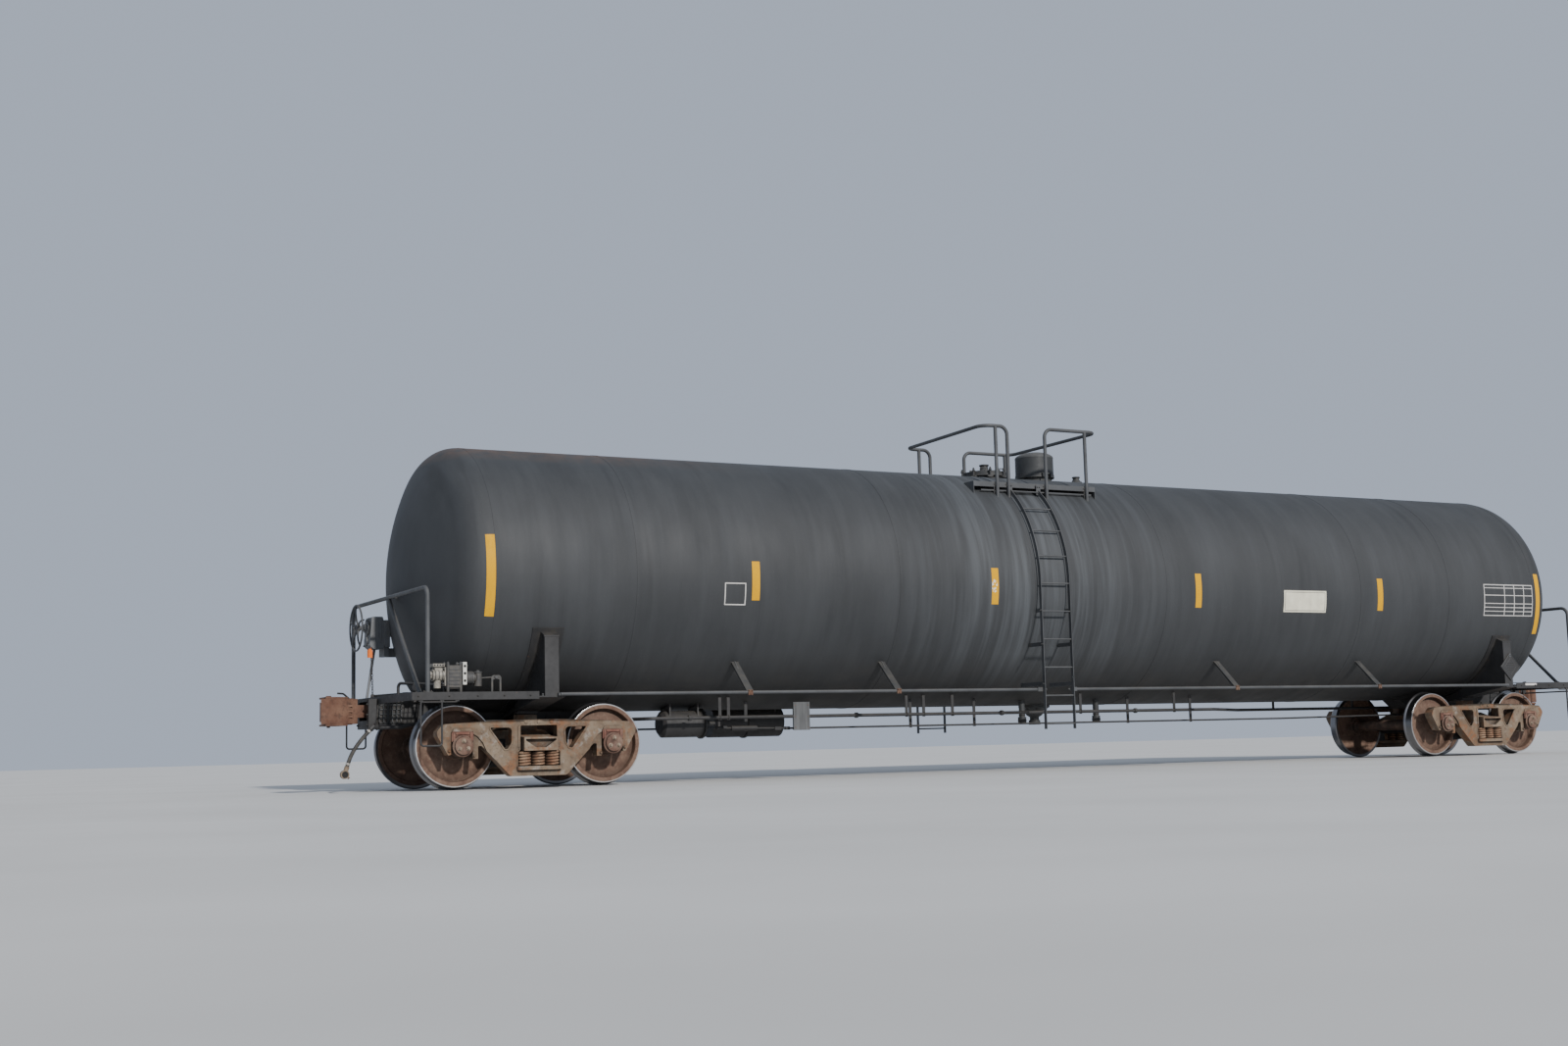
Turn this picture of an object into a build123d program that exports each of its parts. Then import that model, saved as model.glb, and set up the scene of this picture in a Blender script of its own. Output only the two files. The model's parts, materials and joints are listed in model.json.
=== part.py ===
from build123d import *
import os
from math import acos, asin, atan2, cos, degrees, pi, radians, sin, sqrt, tan

# Frame: +X towards the A end, -X towards the B end with the hand brake, +Z up,
# origin on the floor under the middle of the car. Lengths are in millimetres.

# Wheels and axles
WHEEL_TREAD_R = 457.2
FLANGE_HEIGHT = 25.4
AXLE_Z = WHEEL_TREAD_R + FLANGE_HEIGHT
WHEEL_BACK_Y = 678
WHEEL_WIDTH = 145
HUB_OUTER_Y = 856
AXLE_SEAT_R = 104
AXLE_MID_R = 80
BEARING_R = 117
BEARING_Y = (925, 1085)
AXLE_END_Y = 1130
JOURNAL_Y = 1003.5

# Trucks
TRUCK_X = 7548
WHEELBASE = 1778
SIDE_FRAME_HALF = 70
PEDESTAL_HALF = 127
PEDESTAL_ROOF_Z = 640
SPRING_SEAT_Z = 245
SPRING_TOP_Z = 415
BOWL_Z = 678

# Tank jacket
TANK_R = 1543
TANK_Z = 2401
HEAD_TANGENT_X = 8200
KNUCKLE_R = 400
CROWN_R = 3100
SEAM_XS = (-6500, -3000, 1150, 4650, 6400)
SEAM_WIDTH = 50
SEAM_PROUD = 3
PAD_THICK = 12
POLE_R = 50

# Underframe
SILL_HALF = 180
SILL_BOTTOM_Z = 736
SILL_TOP_Z = 1036
SILL_END_X = 9150
STRIKER_X = 9240
DECK_Z = 1060
SIDE_SILL_BOTTOM_Z = 975
SIDE_Y = 1500
COUPLER_Z = 901
COUPLER_PIVOT_X = 8790
PULLING_FACE_X = 9690
RAIL_PIPE_R = 19


def slab(x, y, z):
    """A box from its ranges along X, Y and Z."""
    place = Pos((x[0] + x[1]) / 2, (y[0] + y[1]) / 2, (z[0] + z[1]) / 2)
    return place * Box(abs(x[1] - x[0]), abs(y[1] - y[0]), abs(z[1] - z[0]))


def rod(start, end, r):
    """A round bar from one point to another."""
    a, b = Vector(start), Vector(end)
    base = (Align.CENTER, Align.CENTER, Align.MIN)
    return Plane(origin=a, z_dir=b - a) * Cylinder(r, (b - a).length, align=base)


def pipe(points, bends, r):
    """A round pipe along straight runs joined by tangent bends of the given radii."""
    corners = [Vector(*p) for p in points]
    start = corners[0]
    pieces = []
    for before, corner, after, bend in zip(corners, corners[1:], corners[2:], bends):
        back, ahead = (before - corner).normalized(), (after - corner).normalized()
        half = radians(back.get_angle(ahead)) / 2
        entry = corner + back * (bend / tan(half))
        centre = corner + (back + ahead).normalized() * (bend / sin(half))
        axis = Axis(centre, (entry - centre).cross(back * -1))
        section = Plane(origin=entry, z_dir=back * -1) * Circle(r)
        pieces.append(rod(start, entry, r))
        pieces.append(revolve(section, axis, 180 - 2 * degrees(half)))
        start = corner + ahead * (bend / tan(half))
    pieces.append(rod(start, corners[-1], r))
    return joined(pieces)


def bar(points, bends, r):
    """A thin bent bar of octagonal section along straight runs joined by tangent bends."""
    path = FilletPolyline(*points, radius=bends)
    section = Plane(origin=path @ 0, z_dir=path % 0) * RegularPolygon(r, 8)
    return sweep(section, path=path)


def plate(plane, points, thick):
    """A flat plate of a polygon outline, half its thickness each side of the plane."""
    return extrude(plane * make_face(Polyline(*points, close=True)), thick / 2, both=True)


def rounded(rows):
    """A face from its corners in turn, each with its rounding radius."""
    corners = [(a, b) for a, b, r in rows]
    return make_face(FilletPolyline(*corners, radius=[r for a, b, r in rows], close=True))


def both_sides(rows):
    """Corners of a right half, from the bottom round to the top, with their mirror image."""
    return rows + [(-a, b, r) for a, b, r in reversed(rows)]


def disc(x, y, z, r, axis="Z"):
    """A cylinder along one axis, whose range there is a pair."""
    ranges = {"X": x, "Y": y, "Z": z}
    low, high = ranges[axis]
    centre = [(v if k != axis else (low + high) / 2) for k, v in ranges.items()]
    turn = {"X": Rot(0, 90, 0), "Y": Rot(90, 0, 0), "Z": Rot(0, 0, 0)}[axis]
    return Pos(*centre) * turn * Cylinder(r, high - low)


def joined(pieces):
    """The pieces fused into one."""
    whole = pieces[0]
    for piece in pieces[1:]:
        whole = whole + piece
    return whole


def turned(shape):
    """The same piece at the other end, the car being alike under a half turn."""
    return Rot(0, 0, 180) * shape


def mirrored_y(shape):
    return mirror(shape, about=Plane.XZ)


def save(name, shapes):
    solids = []
    for shape in shapes if isinstance(shapes, (list, tuple)) else [shapes]:
        solids.extend(shape.solids())
    export_step(Compound(children=solids), f"parts/{name}.step")


# Tank
def tank_profile(r, seams):
    """Half outline of the jacket, X against radius, crown to crown."""
    knuckle_radius_centre = TANK_R - KNUCKLE_R
    crown_x = HEAD_TANGENT_X - sqrt((CROWN_R - KNUCKLE_R) ** 2 - knuckle_radius_centre ** 2)
    join_angle = degrees(atan2(knuckle_radius_centre, HEAD_TANGENT_X - crown_x))
    grow = r - TANK_R
    knuckle = CenterArc((HEAD_TANGENT_X, knuckle_radius_centre), KNUCKLE_R + grow,
                        join_angle, 90 - join_angle)
    pole_angle = degrees(asin(POLE_R / (CROWN_R + grow)))
    crown = CenterArc((crown_x, 0), CROWN_R + grow, pole_angle, join_angle - pole_angle)
    ends = [knuckle, crown]
    ends += [mirror(arc, about=Plane.YZ) for arc in (knuckle, crown)]
    top = [(-HEAD_TANGENT_X, r)]
    for x in seams:
        low, high = x - SEAM_WIDTH / 2, x + SEAM_WIDTH / 2
        top += [(low, r), (low, r + SEAM_PROUD), (high, r + SEAM_PROUD), (high, r)]
    top.append((HEAD_TANGENT_X, r))
    tip = crown_x + sqrt((CROWN_R + grow) ** 2 - POLE_R ** 2)
    middle = Polyline((-tip, POLE_R), (-tip, 0), (tip, 0), (tip, POLE_R))
    return make_face(ends + [Polyline(*top), middle])


def tank_solid(r=TANK_R, seams=()):
    return Pos(0, 0, TANK_Z) * revolve(Plane.XZ * tank_profile(r, seams), Axis.X)


TANK_PLAIN = tank_solid()
TANK_ON_PAD = tank_solid(TANK_R + PAD_THICK)


def saddle_plate():
    """Pad on the tank's underside over one bolster, sill side up to the post's top."""
    top_z = 1765
    low_angle = degrees(asin((SILL_HALF + 12) / TANK_R))
    high_angle = degrees(acos((TANK_Z - top_z) / TANK_R))
    outer, inner = TANK_R + PAD_THICK, TANK_R
    corners = []
    for r, a in ((inner, low_angle), (outer, low_angle), (outer, high_angle), (inner, high_angle)):
        corners.append((r * sin(radians(a)), TANK_Z - r * cos(radians(a))))
    first, last = -90 + low_angle, high_angle - low_angle
    face = make_face([
        CenterArc((0, TANK_Z), inner, first, last), CenterArc((0, TANK_Z), outer, first, last),
        Line(corners[0], corners[1]), Line(corners[2], corners[3])])
    side = extrude(Plane.YZ.offset(TRUCK_X) * face, 185, both=True)
    return [side, mirrored_y(side)]


# Underframe
def stub_sill():
    """Draft sill of the A end: two webs, a top plate and flanges, with its centre plate."""
    outline = [(6500, 1000), (6850, SILL_BOTTOM_Z), (SILL_END_X, SILL_BOTTOM_Z),
               (SILL_END_X, SILL_TOP_Z), (6500, SILL_TOP_Z)]
    sill = plate(Plane.XZ, outline, 2 * SILL_HALF)
    for pocket in ((6950, TRUCK_X - 180), (TRUCK_X + 180, SILL_END_X)):
        sill -= slab(pocket, (-SILL_HALF + 20, SILL_HALF - 20), (SILL_BOTTOM_Z, SILL_TOP_Z - 20))
    for side in (-1, 1):
        sill += slab((6860, SILL_END_X), (side * SILL_HALF, side * (SILL_HALF + 50)),
                     (SILL_BOTTOM_Z, SILL_BOTTOM_Z + 16))
    sill += disc(TRUCK_X, 0, (BOWL_Z + 1, SILL_BOTTOM_Z), 203)
    striker = slab((SILL_END_X, STRIKER_X), (-230, 230), (700, 1035))
    striker -= slab((SILL_END_X, STRIKER_X), (-165, 165), (795, 1005))
    sill += striker
    sill += slab((8150, 8600), (-160, 160), (770, SILL_TOP_Z - 20))
    sill += slab((8560, SILL_END_X), (-160, 160), (SILL_BOTTOM_Z, SILL_BOTTOM_Z + 20))
    return sill - TANK_PLAIN


BOLSTER_WEB_X = 75
POST_TOP_Z = 1675


def body_bolster():
    """Twin webs from the sill out to the post, with a bottom flange and a capped top."""
    inner_y, inner_z, outer_z = SILL_HALF, 790, 1010
    cap_y, cap_rise, thick = 1300, 85, 16
    web = [(inner_y, inner_z - 8), (SIDE_Y - 10, outer_z - 10), (SIDE_Y - 10, POST_TOP_Z - 4),
           (cap_y, POST_TOP_Z + cap_rise - 8), (inner_y, POST_TOP_Z + cap_rise - 8)]
    side = []
    for dx in (-BOLSTER_WEB_X, BOLSTER_WEB_X):
        side.append(plate(Plane.YZ.offset(TRUCK_X + dx), web, thick))
    flange = [(inner_y, inner_z), (SIDE_Y, outer_z), (SIDE_Y, outer_z - thick),
              (inner_y, inner_z - thick)]
    side.append(plate(Plane.YZ.offset(TRUCK_X), flange, 300))
    side.append(slab((TRUCK_X - 83, TRUCK_X + 83), (SIDE_Y - 20, SIDE_Y), (outer_z - 8, POST_TOP_Z - 6)))
    cap = [(SIDE_Y + 4, POST_TOP_Z), (SIDE_Y + 4, POST_TOP_Z - thick),
           (cap_y, POST_TOP_Z + cap_rise - thick), (cap_y, POST_TOP_Z + cap_rise)]
    side.append(plate(Plane.YZ.offset(TRUCK_X), cap, 2 * 90))
    side.append(slab((TRUCK_X - 120, TRUCK_X + 120), (560, 710), (832, 882)))
    half = joined(side) - TANK_ON_PAD
    return [half, mirrored_y(half)]


RAILING_X = 8950
RAILING_TOP_Z = 2190


def end_platform():
    """Side sills, end sill and open grating of the A end, with a grating bar under the railing."""
    pieces = []
    for side in (-1, 1):
        outer = side * SIDE_Y
        pieces.append(slab((TRUCK_X + 150, 9130), (outer - side * 8, outer), (SIDE_SILL_BOTTOM_Z, DECK_Z)))
        for z in (SIDE_SILL_BOTTOM_Z, DECK_Z - 8):
            pieces.append(slab((TRUCK_X + 150, 9130), (outer - side * 70, outer), (z, z + 8)))
        pieces.append(slab((8640, 8648), (side * SILL_HALF, outer), (985, DECK_Z)))
    pieces.append(slab((9122, 9130), (-SIDE_Y, SIDE_Y), (SIDE_SILL_BOTTOM_Z, DECK_Z)))
    for pitch in range(-6, 4):
        x = RAILING_X + pitch * 48
        pieces.append(slab((x - 4, x + 4), (-SIDE_Y + 4, SIDE_Y - 4), (SILL_TOP_Z, DECK_Z)))
    for y in (-1200, -900, -600, -300, 300, 600, 900, 1200):
        pieces.append(slab((8644, 9126), (y - 4, y + 4), (SILL_TOP_Z, DECK_Z)))
    return joined(pieces) - slab((8600, 9131), (-SILL_HALF, SILL_HALF), (900, SILL_TOP_Z))


def end_railing():
    """Safety railing across the A end, with its two diagonals and a tie to the tank head."""
    hoop = pipe([(RAILING_X, -SIDE_Y + 25, DECK_Z), (RAILING_X, -SIDE_Y + 25, RAILING_TOP_Z),
                 (RAILING_X, SIDE_Y - 25, RAILING_TOP_Z), (RAILING_X, SIDE_Y - 25, DECK_Z)],
                [110, 110], RAIL_PIPE_R)
    pieces = [hoop]
    for side in (-1, 1):
        pieces.append(rod((RAILING_X, 0, RAILING_TOP_Z), (RAILING_X, side * 1200, DECK_Z), RAIL_PIPE_R))
    pieces.append(slab((8780, RAILING_X), (-30, 30), (RAILING_TOP_Z - 6, RAILING_TOP_Z + 6)))
    return joined(pieces) - TANK_PLAIN - slab((8900, 9000), (-1600, 1600), (900, DECK_Z))


GUARD_Y = 1547
GUARD_Z = 1025
GUARD_BRACKET_XS = (-5130, -3110, 2230, 4850)
LADDER_XS = (-978, -529)
FAR_LADDER_XS = (-860, -411)


def guard_pipes(ladder_xs):
    """Near side guard pipes, from each bolster to the ladder, with struts up to the tank."""
    runs = ((-TRUCK_X + 60, ladder_xs[0]), (ladder_xs[1], TRUCK_X - 60))
    pieces = []
    for low, high in runs:
        run = rod((low + 20, -GUARD_Y, GUARD_Z), (high - 20, -GUARD_Y, GUARD_Z), RAIL_PIPE_R)
        for end, inward in ((low, 1), (high, -1)):
            if end in ladder_xs:
                tab = slab((end - 5 * inward, end + 80 * inward), (-1574, -1560), (1000, 1050))
            else:
                tab = slab((end, end + 40 * inward), (-GUARD_Y, -SIDE_Y), (1010, 1040))
            run += tab
        for x in GUARD_BRACKET_XS:
            if low < x < high:
                strut = plate(Plane.YZ.offset(x), [(-GUARD_Y - 15, GUARD_Z - 25), (-GUARD_Y + 35, GUARD_Z - 25),
                                                   (-1120, 1390), (-1170, 1410)], 12)
                run += strut
        pieces.append(run - TANK_PLAIN)
    return pieces


# Ladders
LADDER_R = 1600
STILE_DEPTH = 50
RUNG_PITCH = 356
RUNG_Z0 = 590
LADDER_TOP_ANGLE = 50.4


def ladder(xs):
    """Near side ladder: straight up to the tank's middle height, then round the tank."""
    outer, inner = LADDER_R + 24, LADDER_R + 24 - STILE_DEPTH
    top = radians(LADDER_TOP_ANGLE)
    ends = [(-r * cos(top), TANK_Z + r * sin(top)) for r in (outer, inner)]
    face = make_face([
        Polyline((-inner, TANK_Z), (-inner, 525), (-outer, 525), (-outer, TANK_Z)),
        CenterArc((0, TANK_Z), outer, 180, -LADDER_TOP_ANGLE),
        CenterArc((0, TANK_Z), inner, 180, -LADDER_TOP_ANGLE),
        Line(ends[0], ends[1])])
    pieces = [extrude(Plane.YZ.offset(x) * face, 5, both=True) for x in xs]
    straight = int((TANK_Z - RUNG_Z0) / RUNG_PITCH)
    for i in range(10):
        z = RUNG_Z0 + i * RUNG_PITCH
        y = -LADDER_R
        if i > straight:
            around = (z - TANK_Z) / LADDER_R
            y, z = -LADDER_R * cos(around), TANK_Z + LADDER_R * sin(around)
        pieces.append(rod((xs[0], y, z), (xs[1], y, z), 10))
    for z in (1070, 1570, 2000):
        for x in xs:
            pieces.append(slab((x - 5, x + 5), (-inner, -1100), (z, z + 50)))
    return joined(pieces) - TANK_PLAIN


# Top platform and its railings
PLATFORM_X = (-1530, 425)
PLATFORM_Y = 1000
PLATFORM_Z = 3742
FASCIA_TALL = 66


def top_platform():
    """Walkway of two halves beside the top fittings, each with a fascia, a lower bar and legs."""
    x0, x1 = PLATFORM_X
    outer = -PLATFORM_Y
    pieces = [slab((x0, x1), (outer, outer + 8), (PLATFORM_Z - FASCIA_TALL, PLATFORM_Z)),
              slab((x0, x1), (outer, outer + 40), (PLATFORM_Z - FASCIA_TALL, PLATFORM_Z - FASCIA_TALL + 6)),
              slab((x0, x1), (outer, -640), (PLATFORM_Z - 25, PLATFORM_Z)),
              slab((x0 + 120, x1 - 60), (outer + 8, outer + 20), (PLATFORM_Z - 118, PLATFORM_Z - 100))]
    for x in (x0, -1210, -1004, -400, 240, x1 - 8):
        pieces.append(slab((x, x + 8), (outer, -660), (3500, PLATFORM_Z)))
    for x in (x0, x1 - 60):
        pieces.append(slab((x, x + 60), (outer, -660), (PLATFORM_Z - 40, PLATFORM_Z)))
    near = joined(pieces) - TANK_PLAIN
    return [near, mirrored_y(near)]


RAIL_TOP_Z = 4485
RAIL_Y = PLATFORM_Y + RAIL_PIPE_R


def top_railings():
    """The two C-shaped railing loops round the ends of the walkway."""
    loops = []
    # corner x, near leg x, far leg x, near post x, far post x
    for corner, near_leg, far_leg, near_post, far_post in (
            (-1375, -1010, -890, -1195, -1076), (432, -393, -312, 253, 386)):
        loop = pipe([(near_leg, -RAIL_Y, 3500), (near_leg, -RAIL_Y, RAIL_TOP_Z),
                     (corner, -RAIL_Y, RAIL_TOP_Z), (corner, RAIL_Y, RAIL_TOP_Z),
                     (far_leg, RAIL_Y, RAIL_TOP_Z), (far_leg, RAIL_Y, 3500)],
                    [110, 150, 150, 110], RAIL_PIPE_R)
        loop += rod((near_post, -RAIL_Y, 3500), (near_post, -RAIL_Y, RAIL_TOP_Z), RAIL_PIPE_R)
        loop += rod((far_post, RAIL_Y, 3500), (far_post, RAIL_Y, RAIL_TOP_Z), RAIL_PIPE_R)
        loops.append(loop - TANK_PLAIN)
    return loops


# Top fittings
MANWAY_X = -670
MANWAY_FACE_Z = 3985
MANWAY_R = 255
COVER_R = 300
HINGE_Y = 385
EYEBOLT_R = 327
EYEBOLT_ANGLES = (-100, -60, -20, 20, 60, 100)


def manway_nozzle():
    """Manway neck with its flange, swing bolts on lugs and hinge lugs with their pin."""
    neck = disc(MANWAY_X, 0, (3870, MANWAY_FACE_Z), MANWAY_R)
    neck += disc(MANWAY_X, 0, (MANWAY_FACE_Z - 30, MANWAY_FACE_Z), COVER_R)
    lug = slab((-24, 24), (-344, -MANWAY_R + 10), (MANWAY_FACE_Z - 62, MANWAY_FACE_Z - 32))
    bolt = disc(0, -EYEBOLT_R, (MANWAY_FACE_Z - 62, MANWAY_FACE_Z + 75), 11)
    nut = Pos(0, -EYEBOLT_R, MANWAY_FACE_Z + 38) * extrude(RegularPolygon(18, 6), 20)
    for angle in EYEBOLT_ANGLES:
        neck += Pos(MANWAY_X, 0, 0) * Rot(0, 0, angle) * (lug + bolt + nut)
    for side in (-1, 1):
        x = MANWAY_X + side * 62
        neck += slab((x - 9, x + 9), (240, HINGE_Y + 22), (MANWAY_FACE_Z - 30, MANWAY_FACE_Z + 26))
    neck += disc((MANWAY_X - 75, MANWAY_X + 75), HINGE_Y, MANWAY_FACE_Z + 10, 9, "X")
    return neck - TANK_PLAIN - disc(MANWAY_X, 0, (MANWAY_FACE_Z, MANWAY_FACE_Z + 60), COVER_R + 6)


def manway_cover():
    """Hinged dished cover with ribs, its hub and the flanged spool on top."""
    z = MANWAY_FACE_Z + 1
    cover = disc(MANWAY_X, 0, (z, z + 28), COVER_R)
    dish = make_face(Polyline((0, z + 28), (250, z + 28), (215, z + 46), (0, z + 46), close=True))
    cover += Pos(MANWAY_X, 0, 0) * revolve(Plane.XZ * dish, Axis.Z)
    spool = make_face(Polyline((0, z + 40), (86, z + 40), (86, z + 52), (60, z + 66), (52, 4112), (66, 4118),
                               (66, 4133), (0, 4133), close=True))
    cover += Pos(MANWAY_X, 0, 0) * revolve(Plane.XZ * spool, Axis.Z)
    for turn in range(6):
        rib = slab((-7, 7), (70, 235), (z + 28, z + 62))
        cover += Pos(MANWAY_X, 0, 0) * Rot(0, 0, 30 + 60 * turn) * rib
    arm = slab((MANWAY_X - 42, MANWAY_X + 42), (220, HINGE_Y), (z, z + 22))
    arm += disc((MANWAY_X - 42, MANWAY_X + 42), HINGE_Y, MANWAY_FACE_Z + 10, 20, "X")
    return cover + arm - disc((MANWAY_X - 90, MANWAY_X + 90), HINGE_Y, MANWAY_FACE_Z + 10, 10, "X")


BONNET_X = 170
BONNET_R = 262
BONNET_TOP_Z = 4341
BONNET_BASE_Z = 4000
BONNET_HINGE_Y = -284
BONNET_HINGE_Z = 4016


def bonnet_base():
    """Pressure plate under the bonnet with the valves that it covers, and the hinge lugs."""
    base = disc(BONNET_X, 0, (3900, BONNET_BASE_Z - 25), 225)
    base += disc(BONNET_X, 0, (BONNET_BASE_Z - 25, BONNET_BASE_Z - 1), 270)
    for dx, dy, r, top in ((-110, 0, 45, 4200), (60, 100, 50, 4240), (60, -100, 40, 4180)):
        base += disc(BONNET_X + dx, dy, (BONNET_BASE_Z - 1, top - 50), r)
        base += disc(BONNET_X + dx, dy, (top - 50, top - 38), r + 14)
        base += disc(BONNET_X + dx, dy, (top - 38, top), r - 12)
    for side in (-1, 1):
        x = BONNET_X + side * 62
        base += slab((x - 8, x + 8), (BONNET_HINGE_Y - 14, -220), (BONNET_BASE_Z - 25, BONNET_HINGE_Z + 10))
    base -= disc(BONNET_X, 0, (BONNET_BASE_Z - 0.5, BONNET_BASE_Z + 90), BONNET_R + 12) - disc(
        BONNET_X, 0, (BONNET_BASE_Z - 0.5, BONNET_BASE_Z + 90), 225)
    base += disc((BONNET_X - 74, BONNET_X + 74), BONNET_HINGE_Y, BONNET_HINGE_Z, 6, "X")
    return base - TANK_PLAIN


def bonnet():
    """Round domed housing, a shell with a rim band, hinge strap, latch and handle."""
    def dome(r, z, rise):
        """Closed drum of radius r with a shallow domed top, flat at its middle."""
        flat = 20
        crown = ((r - flat) ** 2 + rise * rise) / (2 * rise)
        face = make_face([Polyline((flat, z), (0, z), (0, BONNET_BASE_Z), (r, BONNET_BASE_Z), (r, z - rise)),
                          RadiusArc((flat, z), (r, z - rise), crown)])
        return Pos(BONNET_X, 0, 0) * revolve(Plane.XZ * face, Axis.Z)
    inside = dome(BONNET_R - 6, BONNET_TOP_Z - 6, 68)
    shell = dome(BONNET_R, BONNET_TOP_Z, 70)
    shell += disc(BONNET_X, 0, (BONNET_BASE_Z, BONNET_BASE_Z + 20), BONNET_R + 5)
    low, high = BONNET_X - 42, BONNET_X + 42
    shell += slab((low, high), (BONNET_HINGE_Y, -BONNET_R + 14), (BONNET_HINGE_Z - 8, BONNET_HINGE_Z + 8))
    shell += disc((low, high), BONNET_HINGE_Y, BONNET_HINGE_Z, 12, "X")
    shell += slab((BONNET_X + 225, BONNET_X + 292), (-22, 22), (BONNET_BASE_Z + 2, BONNET_BASE_Z + 44))
    grip = [(-60, BONNET_R - 8), (-60, BONNET_R + 28), (60, BONNET_R + 28), (60, BONNET_R - 8)]
    shell += bar([(BONNET_X + dx, y, 4120) for dx, y in grip], [18, 18], 8)
    return shell - inside - disc((BONNET_X - 90, BONNET_X + 90), BONNET_HINGE_Y, BONNET_HINGE_Z, 7, "X")


def relief_valve():
    """Small vacuum relief valve on its own pad."""
    x = 880
    body = disc(x, 0, (3900, 3960), 85) - TANK_PLAIN
    face = make_face(Polyline((0, 3960), (70, 3960), (42, 4010), (42, 4030), (52, 4030), (52, 4040),
                              (0, 4040), close=True))
    return body + Pos(x, 0, 0) * revolve(Plane.XZ * face, Axis.Z)


# Underside fittings
def bottom_outlet():
    """Bottom outlet valve: flange on the tank, tapered body, outlet leg and cap."""
    face = make_face(Polyline((0, 600), (78, 600), (78, 650), (62, 650), (62, 700), (110, 730),
                              (130, 790), (210, 830), (210, 920), (0, 920), close=True))
    return revolve(Plane.XZ * face, Axis.Z) - TANK_PLAIN


HEATER_INLETS = ((-487, -400), (737, -400))


def heater_inlets():
    """Capped pipe ends of the heater coils."""
    inlets = []
    for x, y in HEATER_INLETS:
        inlet = disc(x, y, (660, 960), 40) + disc(x, y, (625, 700), 55)
        inlets.append(inlet - TANK_PLAIN)
    return inlets


# Brake gear on the car
TRAIN_PIPE_R = 21
COCK_Y = -330
COCK_Z = 712
TRAIN_Z = 755


def train_line():
    """Brake pipe from end to end in three lengths, with its hangers from the tank."""
    end_route = [(9160, COCK_Z), (8900, COCK_Z), (8700, TRAIN_Z)]
    b_end = pipe([(-x, COCK_Y, z) for x, z in end_route] + [(-6300, COCK_Y, TRAIN_Z)],
                 [100, 100], TRAIN_PIPE_R)
    a_end = pipe([(x, -COCK_Y, z) for x, z in end_route] + [(4200, -COCK_Y, TRAIN_Z)],
                 [100, 100], TRAIN_PIPE_R)
    middle = pipe([(-6300, COCK_Y, TRAIN_Z), (-6150, COCK_Y, TRAIN_Z), (-5990, -640, TRAIN_Z),
                   (2600, -640, TRAIN_Z), (3900, -COCK_Y, TRAIN_Z), (4200, -COCK_Y, TRAIN_Z)],
                  [120, 120, 150, 150], TRAIN_PIPE_R)
    for x in (-5077, -4962, -2438, -2181, -1744, 300, 1900):
        middle += slab((x - 20, x + 20), (-645, -635), (TRAIN_Z - 30, 1100))
    middle += slab((-4080, -3860), (-663, -635), (588, 925))
    for x in (4600, 6200):
        a_end += slab((x - 20, x + 20), (-COCK_Y - 5, -COCK_Y + 5), (TRAIN_Z, 1000))
    return b_end, middle - TANK_PLAIN, a_end - TANK_PLAIN


CYLINDER_X = (-5740, -5200)
CYLINDER_Y = -330
CYLINDER_Z = 690


def brake_cylinder():
    """Brake cylinder with its flanged head and push rod, on two brackets from the tank."""
    x0, x1 = CYLINDER_X
    face = make_face(Polyline((x0, 0), (x0, 120), (x0 + 35, 160), (x1, 160), (x1, 182), (x1 + 22, 182),
                              (x1 + 22, 90), (x1 + 90, 48), (x1 + 90, 0), close=True))
    body = Pos(0, CYLINDER_Y, CYLINDER_Z) * revolve(Plane.XZ * face, Axis.X)
    body += disc((x1, -5000), CYLINDER_Y, CYLINDER_Z, 24, "X")
    for x in (x0 + 80, x1 - 90):
        body += slab((x, x + 18), (CYLINDER_Y - 130, CYLINDER_Y + 130), (CYLINDER_Z, 960))
    return body - TANK_PLAIN


def air_reservoir():
    """Two-part air reservoir on the far side, on two straps from the tank."""
    tank = disc((-4700, -3700), 480, 715, 190, "X")
    tank += disc((-4215, -4185), 480, 715, 205, "X")
    for x in (-4600, -3820):
        tank += slab((x, x + 20), (330, 630), (715, 1000))
    return tank - TANK_PLAIN


def control_valve():
    """Control valve on the shelf of the B end: two valve portions on a pipe bracket, and its release rod."""
    y = -1330
    valve = slab((-8712, -8545), (y - 75, y + 75), (1113, 1350))
    valve = fillet(valve.edges().filter_by(Axis.Z), 18)
    for x in (-8700, -8557):
        for side in (-1, 1):
            valve += disc(x, y + side * 62, (DECK_Z, 1368), 17)
    valve += slab((-8700, -8557), (y - 62, y + 62), (1100, 1125))
    valve += slab((-8735, -8712), (y - 60, y + 60), (1130, 1330))
    valve += disc((-8860, -8735), y, 1245, 64, "X")
    valve += disc((-8885, -8860), y, 1245, 44, "X")
    valve += slab((-8865, -8737), (y - 66, y + 66), (1335, 1368))
    valve += slab((-8840, -8755), (y - 45, y + 45), (1245, 1336))
    valve += disc(-8800, y, (1105, 1250), 38)
    valve += slab((-8545, -8526), (y - 55, y + 55), (1180, 1345))
    valve += slab((-8526, -8500), (y - 88, y + 88), (1155, 1368))
    valve += disc((-8500, -8405), y, 1215, 72, "X")
    valve += disc((-8405, -8380), y, 1215, 52, "X")
    valve += disc(-8345, y, (1125, 1268), 44)
    valve += slab((-8385, -8320), (y - 30, y + 30), (1180, 1240))
    valve += rod((-8320, y, 1214), (-8150, y, 1222), 8)
    post = rounded([(-8192, DECK_Z, 0), (-8172, DECK_Z, 0), (-8172, 1200, 14), (-8098, 1200, 14),
                    (-8098, DECK_Z, 0), (-8078, DECK_Z, 0), (-8078, 1245, 34), (-8192, 1245, 34)])
    return valve + extrude(Plane.XZ.offset(-y) * post, 9, both=True)


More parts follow.
